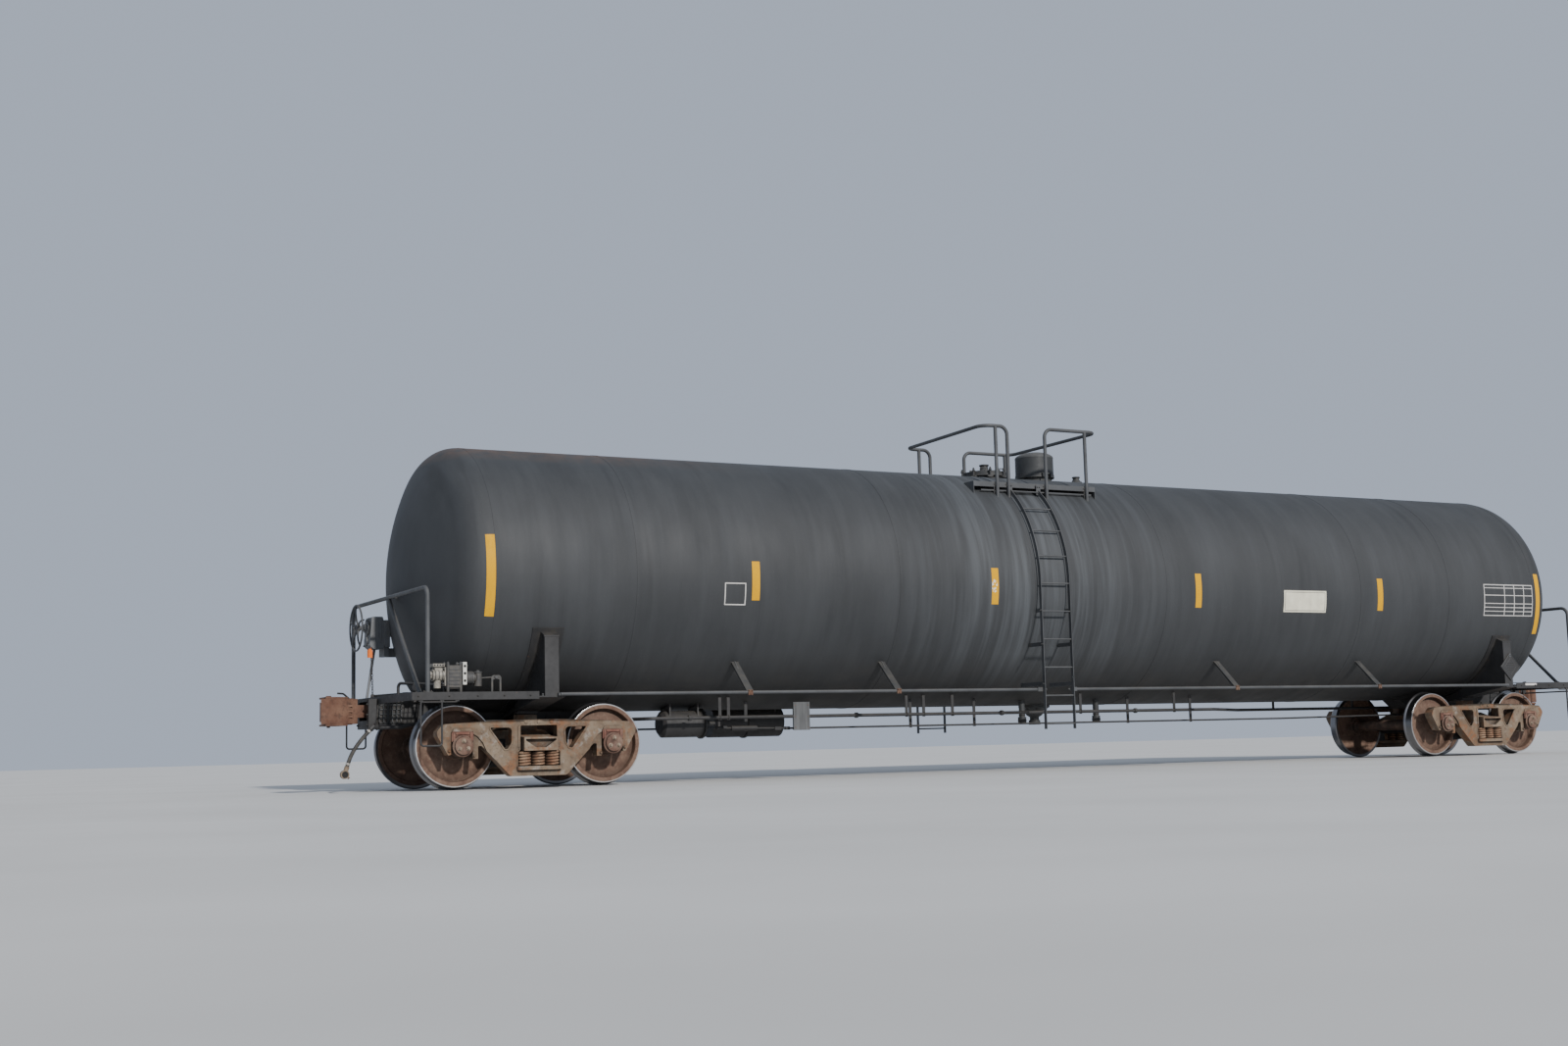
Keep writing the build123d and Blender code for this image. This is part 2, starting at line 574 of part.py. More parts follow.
def brake_rods():
    """Levers and rods between the brake cylinder and the trucks, in hangers from the tank."""
    z = 612
    lever_z = 640
    rods = slab((-4990, -4940), (-560, 330), (lever_z - 12, lever_z + 12))
    rods += slab((-5000, -4930), (CYLINDER_Y - 20, CYLINDER_Y + 20), (lever_z - 12, CYLINDER_Z + 20))
    rods += pipe([(-4965, -500, lever_z - 10), (-4000, -500, z), (4000, -500, z), (6900, -130, 640)],
                 [400, 400], 12)
    rods += pipe([(-4965, 120, lever_z), (-5900, 120, lever_z), (-6900, 60, lever_z)], [400], 12)
    rods += disc((-4860, -4514), -500, 625, 30, "X")
    for low, high in ((-4270, -4180), (-4120, -4060)):
        rods += slab((low, high), (-522, -478), (594, 634))
    for x in (-4657, -2297, -1318, 1200, 2300):
        rods += slab((x - 20, x + 20), (-505, -495), (590, 1000))
    return rods - TANK_PLAIN


HAND_WHEEL = (-9050, 880, 1901)
HAND_WHEEL_R = 280


def hand_brake_stand():
    """Gear housing of the hand brake on its bracket arms from the tank head, with a leg to the platform."""
    x, y, z = HAND_WHEEL
    case = rounded([(-8955, 1690, 22), (-8905, 1650, 10), (-8790, 1650, 10), (-8776, 1700, 10),
                    (-8776, 1960, 12), (-8800, 2030, 10), (-8930, 2030, 26)])
    stand = extrude(Plane.XZ.offset(-y) * case, 130, both=True)
    stand += disc((x + 20, -8940), y, z, 24, "X")
    stand += disc((-8985, -8935), y, z, 52, "X")
    stand += slab((-8776, -8716), (y - 150, y + 150), (1670, 1990))
    for low, high in ((1805, 1905), (1562, 1662)):
        stand += slab((-8716, -8400), (y - 80, y - 60), (low, high))
        stand += slab((-8716, -8400), (y + 60, y + 80), (low, high))
        stand += slab((-8730, -8716), (y - 110, y + 110), (low, high))
    stand += slab((-8776, -8716), (y - 110, y + 110), (1562, 1680))
    leg = rod((-8862, y, 1660), (-8963, y - 21, DECK_Z - 20), 16)
    stand += leg - slab((-9100, -8800), (y - 100, y + 100), (DECK_Z - 100, DECK_Z))
    return stand - TANK_PLAIN


def hand_brake_wheel():
    """Spoked wheel of the hand brake."""
    x, y, z = HAND_WHEEL
    section = Pos(HAND_WHEEL_R - 12, 0) * RegularPolygon(12, 8)
    rim = Pos(x - 30, y, z) * Rot(0, 90, 0) * revolve(Plane.XZ * section, Axis.Z)
    hub = disc((x - 25, x + 20), y, z, 40, "X")
    for i in range(5):
        a = radians(90 + 72 * i)
        tip = (x - 30, y + (HAND_WHEEL_R - 12) * cos(a), z + (HAND_WHEEL_R - 12) * sin(a))
        hub += rod((x - 10, y, z), tip, 9)
    return rim + hub


# Small fittings on the underframe
def placard_holders():
    """Diamond placard plates on a post, near side of the A end and far side of the B end."""
    half = 205
    centre_x, centre_z = TRUCK_X + 30, 1295
    face = [(centre_x, centre_z - half), (centre_x + half, centre_z), (centre_x, centre_z + half),
            (centre_x - half, centre_z)]
    near = plate(Plane.XZ.offset(SIDE_Y + 12), face, 8)
    near += slab((TRUCK_X - 20, TRUCK_X + 60), (-SIDE_Y - 8, -SIDE_Y), (1200, 1400))
    return [near, turned(near)]


STEP_X = (8797, 9029)
STEP_Z = 490
GRAB_END_X = 8628


def sill_steps():
    """Stirrup steps and the grab irons at the four corners."""
    near, far = STEP_X
    steps = []
    for sx, sy in ((1, 1), (1, -1), (-1, 1), (-1, -1)):
        y = sy * (SIDE_Y - 4 - 12)
        step = bar([(sx * near, y, SIDE_SILL_BOTTOM_Z), (sx * near, y, STEP_Z), (sx * far, y, STEP_Z),
                     (sx * far, y, SIDE_SILL_BOTTOM_Z)], [34, 34], 11)
        step += bar([(sx * far, y, 954), (sx * GRAB_END_X, y, 954), (sx * GRAB_END_X, y, SIDE_SILL_BOTTOM_Z)],
                     [16], 9)
        steps.append(step)
    return steps


def uncoupling_levers():
    """Lift levers that open the couplers, beside each draft sill."""
    a_end = bar([(9180, -1380, 800), (9180, -1330, 930), (9180, -300, 930), (9400, -240, 1110),
                  (9500, -100, 1110)], [30, 60, 60], 11)
    a_end += slab((9130, 9190), (-1300, -1280), (915, 975))
    a_end += slab((9130, 9190), (-400, -380), (915, 975))
    return [a_end, turned(a_end)]


# Couplers
PIN_U, PIN_V = -95, 140
KNUCKLE_HALF_Z = 108


def coupler_frame(u, v):
    """Head coordinates, outward from the pulling face and towards the knuckle's side."""
    return (PULLING_FACE_X + u, -v)


def coupler():
    """Coupler of the A end: shank, head, guard arm, knuckle lugs and shelves."""
    head_outline = [(-370, -65), (-270, -135), (-120, -190), (50, -235), (80, -215), (65, -160),
                    (-60, -105), (-150, -55), (-165, 55), (-185, 70), (-185, 215), (-230, 215),
                    (-300, 120), (-370, 65)]
    plane = Plane.XY.offset(COUPLER_Z)
    head = plate(plane, [coupler_frame(*p) for p in head_outline], 280)
    pin_x, pin_y = coupler_frame(PIN_U, PIN_V)
    lug_face = [(-185, 75), (-95, 75), (-95, 215), (-185, 215)]
    for side in (-1, 1):
        level = Plane.XY.offset(COUPLER_Z + side * 127)
        lug = plate(level, [coupler_frame(*p) for p in lug_face], 26)
        lug += extrude(level * Pos(pin_x, pin_y) * Circle(72), 13, both=True)
        shelf_face = [(-240, -140), (-120, -190), (30, -225), (30, 60), (-60, 190), (-200, 190)]
        shelf = Plane.XY.offset(COUPLER_Z + side * 150)
        head += lug + plate(shelf, [coupler_frame(*p) for p in shelf_face], 20)
    head += slab((COUPLER_PIVOT_X, PULLING_FACE_X - 350), (-65, 65), (COUPLER_Z - 70, COUPLER_Z + 70))
    head += disc(pin_x, pin_y, (COUPLER_Z - 145, COUPLER_Z + 175), 20)
    head += disc(COUPLER_PIVOT_X, 0, (COUPLER_Z - 70, COUPLER_Z + 70), 84)
    return head


def knuckle():
    """Knuckle of the A end coupler, on its vertical pin."""
    outline = [(PIN_U, 212), (-40, 205), (-5, 175), (0, 60), (0, -20), (-20, -45), (-70, -40),
               (-80, 20), (-100, 68)]
    plane = Plane.XY.offset(COUPLER_Z)
    body = plate(plane, [coupler_frame(*p) for p in outline], 2 * KNUCKLE_HALF_Z)
    pin_x, pin_y = coupler_frame(PIN_U, PIN_V)
    body += disc(pin_x, pin_y, (COUPLER_Z - KNUCKLE_HALF_Z, COUPLER_Z + KNUCKLE_HALF_Z), 72)
    return body - disc(pin_x, pin_y, (COUPLER_Z - 200, COUPLER_Z + 200), 21)


# Trucks, made about their own centre and then placed
# Right half of a side frame from the bottom round to the top: X, Z, rounding
AXLE_OFFSET = WHEELBASE / 2
JAW_IN, JAW_OUT = AXLE_OFFSET - PEDESTAL_HALF, AXLE_OFFSET + PEDESTAL_HALF
SIDE_FRAME_ROWS = [(330, 137, 60), (663, 480, 22), (702, 480, 14), (702, 340, 8), (JAW_IN, 340, 8),
                   (JAW_IN, PEDESTAL_ROOF_Z, 12), (JAW_OUT, PEDESTAL_ROOF_Z, 12), (JAW_OUT, 390, 5),
                   (1048, 384, 8), (1187, 626, 60), (1112, 722, 45), (760, 742, 0), (250, 762, 0)]
WINDOW_ROWS = [(590, 685, 18), (306, 683, 52), (314, 500, 60), (362, 432, 16), (402, 428, 16)]
BOLSTER_OPENING_ROWS = [(256, 215, 20), (256, 402, 8), (224, 430, 8), (224, 704, 22)]
LEG_RECESS = [(612, 428), (652, 515), (716, 588), (JAW_IN, 612), (JAW_IN, 330), (690, 330), (660, 400)]
SEAT_HALF_X = 262
SEAT_Y = (815, 1122)


def side_frames():
    """Cast side frames with rounded windows, bolster opening, pedestal jaws and spring seat."""
    middle = Plane.XZ.offset(-JOURNAL_Y)
    frame = extrude(middle * rounded(both_sides(SIDE_FRAME_ROWS)), SIDE_FRAME_HALF, both=True)
    for hole in (both_sides(BOLSTER_OPENING_ROWS), WINDOW_ROWS, [(-a, b, r) for a, b, r in WINDOW_ROWS]):
        frame -= extrude(middle * rounded(hole), 2 * SIDE_FRAME_HALF, both=True)
    outer_face = Plane.XZ.offset(-JOURNAL_Y - SIDE_FRAME_HALF)
    for side in (-1, 1):
        leg = make_face(Polyline(*[(side * a, b) for a, b in LEG_RECESS], close=True))
        frame -= extrude(outer_face * leg, 18, both=True)
    low, high = SEAT_Y
    seat = Pos(0, (low + high) / 2, 0) * RectangleRounded(2 * SEAT_HALF_X, high - low, 30)
    frame += Pos(0, 0, 205) * extrude(seat, SPRING_SEAT_Z - 205)
    return [frame, mirrored_y(frame)]


BOLSTER_END_Y = 1150
BOLSTER_HALF_X = 197
# Corners of the pocket in each end of the bolster: X, Z
BOLSTER_POCKET = [(-178, 545), (178, 545), (178, 528), (60, 450), (-60, 450), (-178, 528)]


def truck_bolster():
    """Cast bolster between the side frames, with bowl, side bearings and pocketed ends."""
    outline = [(-BOLSTER_END_Y, SPRING_TOP_Z), (-700, SPRING_TOP_Z), (-400, 360), (400, 360),
               (700, SPRING_TOP_Z), (BOLSTER_END_Y, SPRING_TOP_Z), (BOLSTER_END_Y, 563), (930, 580),
               (760, 640), (400, 655), (-400, 655), (-760, 640), (-930, 580), (-BOLSTER_END_Y, 563)]
    beam = plate(Plane.YZ, outline, 2 * BOLSTER_HALF_X)
    pocket = make_face(Polyline(*BOLSTER_POCKET, close=True))
    for side in (-1, 1):
        end = Plane.XZ.offset(side * BOLSTER_END_Y)
        beam -= extrude(end * pocket, 60, both=True)
        beam += slab((-8, 8), (side * 1085, side * (BOLSTER_END_Y - 4)), (448, 492))
    beam += disc(0, 0, (655, BOWL_Z), 240)
    beam += disc(0, 0, (BOWL_Z, 704), 240) - disc(0, 0, (BOWL_Z, 704), 213)
    for side in (-1, 1):
        beam += slab((-120, 120), (side * 635 - 60, side * 635 + 60), (640, 822))
    return beam


SPRING_PITCH_X = 166
SPRING_ROWS_Y = (895, 1040)
COIL_R = 60
WIRE_R = 13


def coil_spring(turns=5, steps=10):
    """A helical spring of hexagonal wire about the Z axis, standing on its seat."""
    rise = (SPRING_TOP_Z - SPRING_SEAT_Z - 2 * WIRE_R) / (turns * steps)
    points = []
    for k in range(turns * steps + 1):
        angle = 2 * pi * k / steps
        points.append((COIL_R * cos(angle), COIL_R * sin(angle), SPRING_SEAT_Z + WIRE_R + rise * k))
    path = Polyline(*points)
    wire = Plane(origin=path @ 0, z_dir=path % 0) * RegularPolygon(WIRE_R, 6)
    return sweep(wire, path=path, transition=Transition.RIGHT)


def springs():
    """Spring groups, three by two under each bolster end, with their outer row as open coils."""
    coil = coil_spring()
    inner, outer = SPRING_ROWS_Y
    group = []
    for side in (-1, 1):
        for column in (-1, 0, 1):
            x = column * SPRING_PITCH_X
            group.append(Pos(x, side * outer, 0) * coil)
            group.append(disc(x, side * inner, (SPRING_SEAT_Z, SPRING_TOP_Z), COIL_R))
    return group


ADAPTER_HALF_X = PEDESTAL_HALF - 2


def adapters():
    """Bearing adapters between the pedestal roofs and the bearings."""
    blocks = []
    for sx in (-1, 1):
        for sy in (-1, 1):
            x, y = sx * AXLE_OFFSET, sy * JOURNAL_Y
            block = slab((x - ADAPTER_HALF_X, x + ADAPTER_HALF_X), (y - 85, y + 85), (530, PEDESTAL_ROOF_Z))
            block = chamfer(block.edges().filter_by(Axis.Y).group_by(Axis.Z)[-1], 14)
            blocks.append(block - disc(x, (y - 200, y + 200), AXLE_Z, BEARING_R + 2, "Y"))
    return blocks


def brake_beams():
    """Brake beams with their shoes, heads and struts, inboard of each wheelset."""
    beams = []
    for sx in (-1, 1):
        x, z = sx * 330, 385
        beam = slab((x - 30, x + 30), (-933, 933), (z - 25, z + 25))
        for sy in (-1, 1):
            shoe = slab((sx * 300, sx * 480), (sy * 725, sy * 810), (z - 140, z + 170))
            shoe -= disc(sx * WHEELBASE / 2, (sy * 750 - 120, sy * 750 + 120), AXLE_Z,
                         WHEEL_TREAD_R + 8, "Y")
            beam += shoe
        beams.append(beam)
    return beams


def wheel_pair():
    """The two wheels of an axle, about the axle's centre line."""
    back, width = WHEEL_BACK_Y, WHEEL_WIDTH
    tread, flange = WHEEL_TREAD_R, AXLE_Z
    outline = [(AXLE_SEAT_R, back), (140, back), (150, back + 30), (390, back + 12), (395, back),
               (flange - 14, back), (flange, back + 14), (flange - 10, back + 26),
               (tread, back + 38), (tread - 6, back + width), (395, back + width),
               (385, back + 70), (155, back + 110), (140, HUB_OUTER_Y), (AXLE_SEAT_R, HUB_OUTER_Y)]
    wheel = revolve(Plane.XY * make_face(Polyline(*outline, close=True)), Axis.Y)
    return [wheel, mirrored_y(wheel)]


def axle():
    """Axle with its roller bearings and end caps, about its own centre line."""
    outline = [(0, 0), (AXLE_MID_R, 0), (AXLE_MID_R, WHEEL_BACK_Y - 40), (AXLE_SEAT_R, WHEEL_BACK_Y - 10),
               (AXLE_SEAT_R, HUB_OUTER_Y), (90, HUB_OUTER_Y + 10), (90, BEARING_Y[0]),
               (BEARING_R, BEARING_Y[0]), (BEARING_R, BEARING_Y[1]), (95, BEARING_Y[1] + 5),
               (95, AXLE_END_Y - 8), (85, AXLE_END_Y), (0, AXLE_END_Y)]
    half = revolve(Plane.XY * make_face(Polyline(*outline, close=True)), Axis.Y)
    return half + mirrored_y(half)


# Air hoses at the ends
HOSE_R = 22
HOSE_ROUTE = [(-9252, -342, 690), (-9300, -343, 640), (-9353, -342, 582), (-9403, -340, 517),
              (-9447, -337, 447), (-9483, -333, 371), (-9508, -330, 290)]


def cord_bends(points):
    """Bend radii as large as the runs beside each corner allow."""
    radii = []
    for a, b, c in zip(points, points[1:], points[2:]):
        into, out = Vector(*b) - Vector(*a), Vector(*c) - Vector(*b)
        half_turn = radians(into.get_angle(out)) / 2
        shorter = min(into.length, out.length)
        radii.append(0.45 * shorter / tan(half_turn))
    return radii


def air_hose():
    """The B end hose, limp from the angle cock down to its gladhand."""
    bends = cord_bends(HOSE_ROUTE)
    print("hose bend radii", [round(r) for r in bends])
    hose = pipe(HOSE_ROUTE, bends, HOSE_R)
    path = FilletPolyline(*HOSE_ROUTE, radius=bends)
    print("hose length", round(path.length), "volume ratio",
          round(hose.volume / (path.length * pi * HOSE_R ** 2), 4))
    return hose


def gladhand():
    """Hose coupling at the free end of the B end hose."""
    end, before = Vector(*HOSE_ROUTE[-1]), Vector(*HOSE_ROUTE[-2])
    along = (end - before).normalized()
    neck = end + along * 70
    body = rod(tuple(end), tuple(neck), 27)
    head = Plane(origin=neck + along * 20, z_dir=Vector(0, 1, 0)) * Cylinder(48, 50)
    return body + head


def angle_cock():
    """End valve on the brake pipe, with the socket that the hose leaves."""
    start, second = Vector(*HOSE_ROUTE[0]), Vector(*HOSE_ROUTE[1])
    along = (second - start).normalized()
    base = start - along * 60
    cock = rod(tuple(start), tuple(base), 30)
    cock += rod((-9160, COCK_Y, COCK_Z), tuple(base), 34)
    return cock


os.makedirs("parts", exist_ok=True)

save("tank", tank_solid(TANK_R, SEAM_XS))
saddle = saddle_plate()
save("saddle_plates", saddle + [turned(piece) for piece in saddle])
sill = stub_sill()
save("stub_sills", [sill, turned(sill)])
bolster = body_bolster()
save("body_bolsters", bolster + [turned(piece) for piece in bolster])
platform = end_platform()
b_shelf = slab((-8860, -8000), (-1440, -1180), (DECK_Z - 8, DECK_Z))
save("end_platforms", [platform, turned(platform) + b_shelf])
railing = end_railing()
save("end_railings", [railing, turned(railing)])
far_guards = [mirrored_y(piece) for piece in guard_pipes(FAR_LADDER_XS)]
save("guard_pipes", guard_pipes(LADDER_XS) + far_guards)
save("ladder_near", ladder(LADDER_XS))
save("ladder_far", mirrored_y(ladder(FAR_LADDER_XS)))
save("top_platform", top_platform())
save("top_railings", top_railings())
save("manway_nozzle", manway_nozzle())
save("manway_cover", manway_cover())
save("bonnet_base", bonnet_base())
save("bonnet", bonnet())
save("relief_valve", relief_valve())
save("bottom_outlet", bottom_outlet())
save("heater_inlets", heater_inlets())
cock = angle_cock()
line_b, line_middle, line_a = train_line()
save("train_line_b", line_b + cock)
save("train_line", line_middle)
save("train_line_a", line_a + turned(cock))
save("brake_cylinder", brake_cylinder())
save("air_reservoir", air_reservoir())
save("control_valve", control_valve())
save("brake_rods", brake_rods())
save("hand_brake_stand", hand_brake_stand())
save("hand_brake_wheel", hand_brake_wheel())
save("placard_holders", placard_holders())
save("sill_steps", sill_steps())
save("uncoupling_levers", uncoupling_levers())

head, jaw = coupler(), knuckle()
hose, hand = air_hose(), gladhand()
for end, place in (("b", Rot(0, 0, 180)), ("a", Rot(0, 0, 0))):
    save(f"coupler_{end}", place * head)
    save(f"knuckle_{end}", place * jaw)
for end, place in (("b", Rot(0, 0, 0)), ("a", Rot(0, 0, 180))):
    save(f"air_hose_{end}", place * hose)
    save(f"gladhand_{end}", place * hand)

truck = {"side_frames": side_frames(), "truck_bolster": [truck_bolster()], "springs": springs(),
         "adapters": adapters(), "brake_beams": brake_beams()}
wheels, shaft = wheel_pair(), axle()
for end, centre in (("b", -TRUCK_X), ("a", TRUCK_X)):
    for name, pieces in truck.items():
        save(f"{name}_{end}", [Pos(centre, 0, 0) * piece for piece in pieces])
for number, x in enumerate((-TRUCK_X - WHEELBASE / 2, -TRUCK_X + WHEELBASE / 2,
                            TRUCK_X - WHEELBASE / 2, TRUCK_X + WHEELBASE / 2), start=1):
    save(f"wheels_{number}", [Pos(x, 0, AXLE_Z) * wheel for wheel in wheels])
    save(f"axle_{number}", Pos(x, 0, AXLE_Z) * shaft)
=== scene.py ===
import json
from itertools import product
from math import cos, degrees, pi, radians, sin, sqrt, tan

import bmesh
import bpy
from mathutils import Matrix, Vector


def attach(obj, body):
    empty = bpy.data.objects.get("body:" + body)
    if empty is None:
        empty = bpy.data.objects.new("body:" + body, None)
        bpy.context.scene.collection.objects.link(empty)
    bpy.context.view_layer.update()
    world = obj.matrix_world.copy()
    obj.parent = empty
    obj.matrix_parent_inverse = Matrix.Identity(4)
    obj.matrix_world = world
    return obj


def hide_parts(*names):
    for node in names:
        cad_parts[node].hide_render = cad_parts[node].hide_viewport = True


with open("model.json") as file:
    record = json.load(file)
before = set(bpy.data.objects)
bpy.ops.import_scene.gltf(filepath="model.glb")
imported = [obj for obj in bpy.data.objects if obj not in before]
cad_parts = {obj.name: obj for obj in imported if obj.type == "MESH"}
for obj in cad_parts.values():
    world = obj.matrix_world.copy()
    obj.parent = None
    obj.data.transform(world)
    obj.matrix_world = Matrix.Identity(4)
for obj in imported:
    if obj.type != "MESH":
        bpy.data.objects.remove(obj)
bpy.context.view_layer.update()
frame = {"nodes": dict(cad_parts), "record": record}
scene = bpy.context.scene
nodes = frame["nodes"]

# Sizes shared with the frame, in metres
AXLE_Z = 0.4826
TRUCK_X = 7.548
WHEELBASE = 1.778
JOURNAL_Y = 1.0035
TANK_R = 1.543
TANK_Z = 2.401
HEAD_TANGENT_X = 8.2
KNUCKLE_R = 0.4
SIDE_Y = 1.5
DECK_Z = 1.06

# Directions, and the signs of the two sides or ends
TO_A, TO_B, NEAR = (1, 0, 0), (-1, 0, 0), (0, -1, 0)
UP, DOWN = (0, 0, 1), (0, 0, -1)
BOTH = (-1, 1)

# Camera, solved from the photograph
CAMERA_AT = (-14.993, -20.8, 0.388)
CAMERA_YAW = 0.49404
CAMERA_PITCH = 0.11969
CAMERA_ROLL = -0.025339
FOCAL_PX = 1896.39
PHOTO_WIDTH_PX = 1600
SENSOR_MM = 36.0


def make_camera():
    """The photograph's camera: yaw from +Y towards +X, pitch up, then roll."""
    forward = Vector((sin(CAMERA_YAW) * cos(CAMERA_PITCH), cos(CAMERA_YAW) * cos(CAMERA_PITCH),
                      sin(CAMERA_PITCH)))
    right = Vector((cos(CAMERA_YAW), -sin(CAMERA_YAW), 0))
    up = right.cross(forward)
    right_rolled = right * cos(CAMERA_ROLL) + up * sin(CAMERA_ROLL)
    up_rolled = up * cos(CAMERA_ROLL) - right * sin(CAMERA_ROLL)
    data = bpy.data.cameras.new("camera")
    data.sensor_width = SENSOR_MM
    data.lens = FOCAL_PX / PHOTO_WIDTH_PX * SENSOR_MM
    data.clip_end = 400
    camera = bpy.data.objects.new("camera", data)
    turn = Matrix((right_rolled, up_rolled, -forward)).transposed().to_4x4()
    camera.matrix_world = Matrix.Translation(CAMERA_AT) @ turn
    scene.collection.objects.link(camera)
    scene.camera = camera


# Materials
class Shader:
    """A material under construction, in metres of object space, with its colour so far."""

    def __init__(self, name, colour=None):
        self.material = bpy.data.materials.new(name)
        self.material.use_nodes = True
        self.tree = self.material.node_tree
        self.bsdf = self.tree.nodes["Principled BSDF"]
        self.place = self.tree.nodes.new("ShaderNodeTexCoord").outputs["Object"]
        self.colour = colour

    def node(self, kind, inputs=(), **settings):
        """A new node with its settings and inputs filled in."""
        made = self.tree.nodes.new(kind)
        for key, value in settings.items():
            setattr(made, key, value)
        for key, value in dict(inputs).items():
            self.feed(made.inputs[key], value)
        return made

    def feed(self, socket, value):
        """Links or sets one input; colours are given without their alpha."""
        if isinstance(value, bpy.types.NodeSocket):
            self.tree.links.new(value, socket)
        else:
            socket.default_value = (*value, 1) if socket.type == "RGBA" else value

    def maths(self, how, a, b=0.0):
        return self.node("ShaderNodeMath", {0: a, 1: b}, operation=how).outputs[0]

    def times(self, a, b):
        return self.maths("MULTIPLY", a, b)

    def noise(self, scale, detail=4.0, rough=0.55, stretch=(1, 1, 1), warp=0.0):
        """Fractal noise, drawn out along an axis where its stretch is under one."""
        place = self.node("ShaderNodeVectorMath", {0: self.place, 1: stretch}, operation="MULTIPLY")
        inputs = {"Vector": place.outputs[0], "Scale": scale, "Detail": detail, "Roughness": rough,
                  "Distortion": warp}
        return self.node("ShaderNodeTexNoise", inputs).outputs["Fac"]

    def span(self, fac, low, high, to_low=0.0, to_high=1.0):
        """fac from low to high, moved to the range to_low to to_high and clamped."""
        inputs = {"Value": fac, "From Min": low, "From Max": high, "To Min": to_low, "To Max": to_high}
        return self.node("ShaderNodeMapRange", inputs).outputs[0]

    def spots(self, scale, low, high, *grain, **more):
        """Noise cut between low and high, the rest being the noise's own arguments."""
        return self.span(self.noise(scale, *grain, **more), low, high)

    def axis(self, name):
        return self.node("ShaderNodeSeparateXYZ", {0: self.place}).outputs[name]

    def off_middle(self, name):
        return self.maths("ABSOLUTE", self.axis(name))

    def facing(self, name):
        """One part of the surface's direction."""
        geometry = self.node("ShaderNodeNewGeometry")
        return self.node("ShaderNodeSeparateXYZ", {0: geometry.outputs["Normal"]}).outputs[name]

    def crevice(self, distance=0.08):
        """One in corners and under overhangs, falling to zero in the open."""
        shade = self.node("ShaderNodeAmbientOcclusion", {"Distance": distance}, samples=6)
        return self.span(shade.outputs["AO"], 0.95, 0.45)

    def mix(self, fac, a, b):
        """Colour a where fac is zero and b where it is one."""
        return self.node("ShaderNodeMix", {0: fac, 6: a, 7: b}, data_type="RGBA").outputs[2]

    def coat(self, fac, colour, share=1.0):
        """Lays a colour over the coats so far, where fac says, and at most by share."""
        self.colour = self.mix(fac if share == 1.0 else self.times(fac, share), self.colour, colour)

    def finish(self, rough, height=None, bump=0.3, depth=0.002, metal=0.0):
        """Joins the coats, roughness and relief to the surface, and gives the material."""
        self.feed(self.bsdf.inputs["Base Color"], self.colour)
        self.feed(self.bsdf.inputs["Roughness"], rough)
        self.feed(self.bsdf.inputs["Metallic"], metal)
        if height is not None:
            lumps = self.node("ShaderNodeBump", {"Height": height, "Strength": bump, "Distance": depth})
            self.feed(self.bsdf.inputs["Normal"], lumps.outputs[0])
        return self.material


def painted(name, base, dust, rust_amount):
    """Weathered paint: mottled colour, dust in crevices and on top faces, rust specks."""
    s = Shader(name, base)
    s.coat(s.spots(3.0, 0.35, 0.7, 6), [c * 1.5 + 0.006 for c in base])
    dusty = s.maths("MAXIMUM", s.times(s.crevice(), 0.5), s.span(s.facing("Z"), 0.2, 1.0, 0.0, 0.55))
    s.coat(s.times(dusty, s.spots(9.0, 0.3, 0.75, 5)), dust)
    edge = 0.72 - 0.2 * rust_amount
    s.coat(s.spots(14.0, edge, edge + 0.08, 8, 0.7), (0.16, 0.07, 0.035), 0.8)
    return s.finish(s.span(s.noise(20.0, 3), 0.3, 0.7, 0.52, 0.72), s.noise(60.0, 5), 0.25, 0.001)


def sand_cast(s):
    """Roughness and relief of sand-cast steel."""
    height = s.maths("ADD", s.noise(45.0, 6, 0.65), s.times(s.noise(8.0), 0.8))
    return s.finish(s.span(s.noise(25.0), 0.3, 0.7, 0.7, 0.92), height, 0.55, 0.003)


def cast(name, base, dark, dust):
    """Sand-cast steel under rust and road dust, with painted shade darkening its corners."""
    s = Shader(name, base)
    s.coat(s.spots(6.0, 0.38, 0.62, 7, 0.6), dust)
    s.coat(s.spots(17.0, 0.5, 0.68, 6, 0.7), dark, 0.7)
    # Painted shade: darker in corners and under overhangs
    s.coat(s.crevice(0.12), [c * 0.5 for c in dark], 0.75)
    return sand_cast(s)


def side_frame_steel(name):
    """Grey-brown castings with paler chalky patches, orange rust and painted shade in the corners."""
    s = Shader(name, (0.12, 0.078, 0.048))
    s.coat(s.spots(3.2, 0.36, 0.64, 6, 0.6), (0.215, 0.168, 0.12))
    s.coat(s.spots(7.5, 0.55, 0.7, 7, 0.65), (0.33, 0.31, 0.285), 0.7)
    s.coat(s.spots(6.0, 0.5, 0.62, 8, 0.7, warp=0.3), (0.185, 0.078, 0.03), 0.8)
    s.coat(s.spots(19.0, 0.52, 0.68, 7, 0.72), (0.055, 0.038, 0.028), 0.6)
    # Painted shade: darker in corners and under overhangs
    s.coat(s.crevice(0.12), (0.028, 0.02, 0.016), 0.8)
    return sand_cast(s)


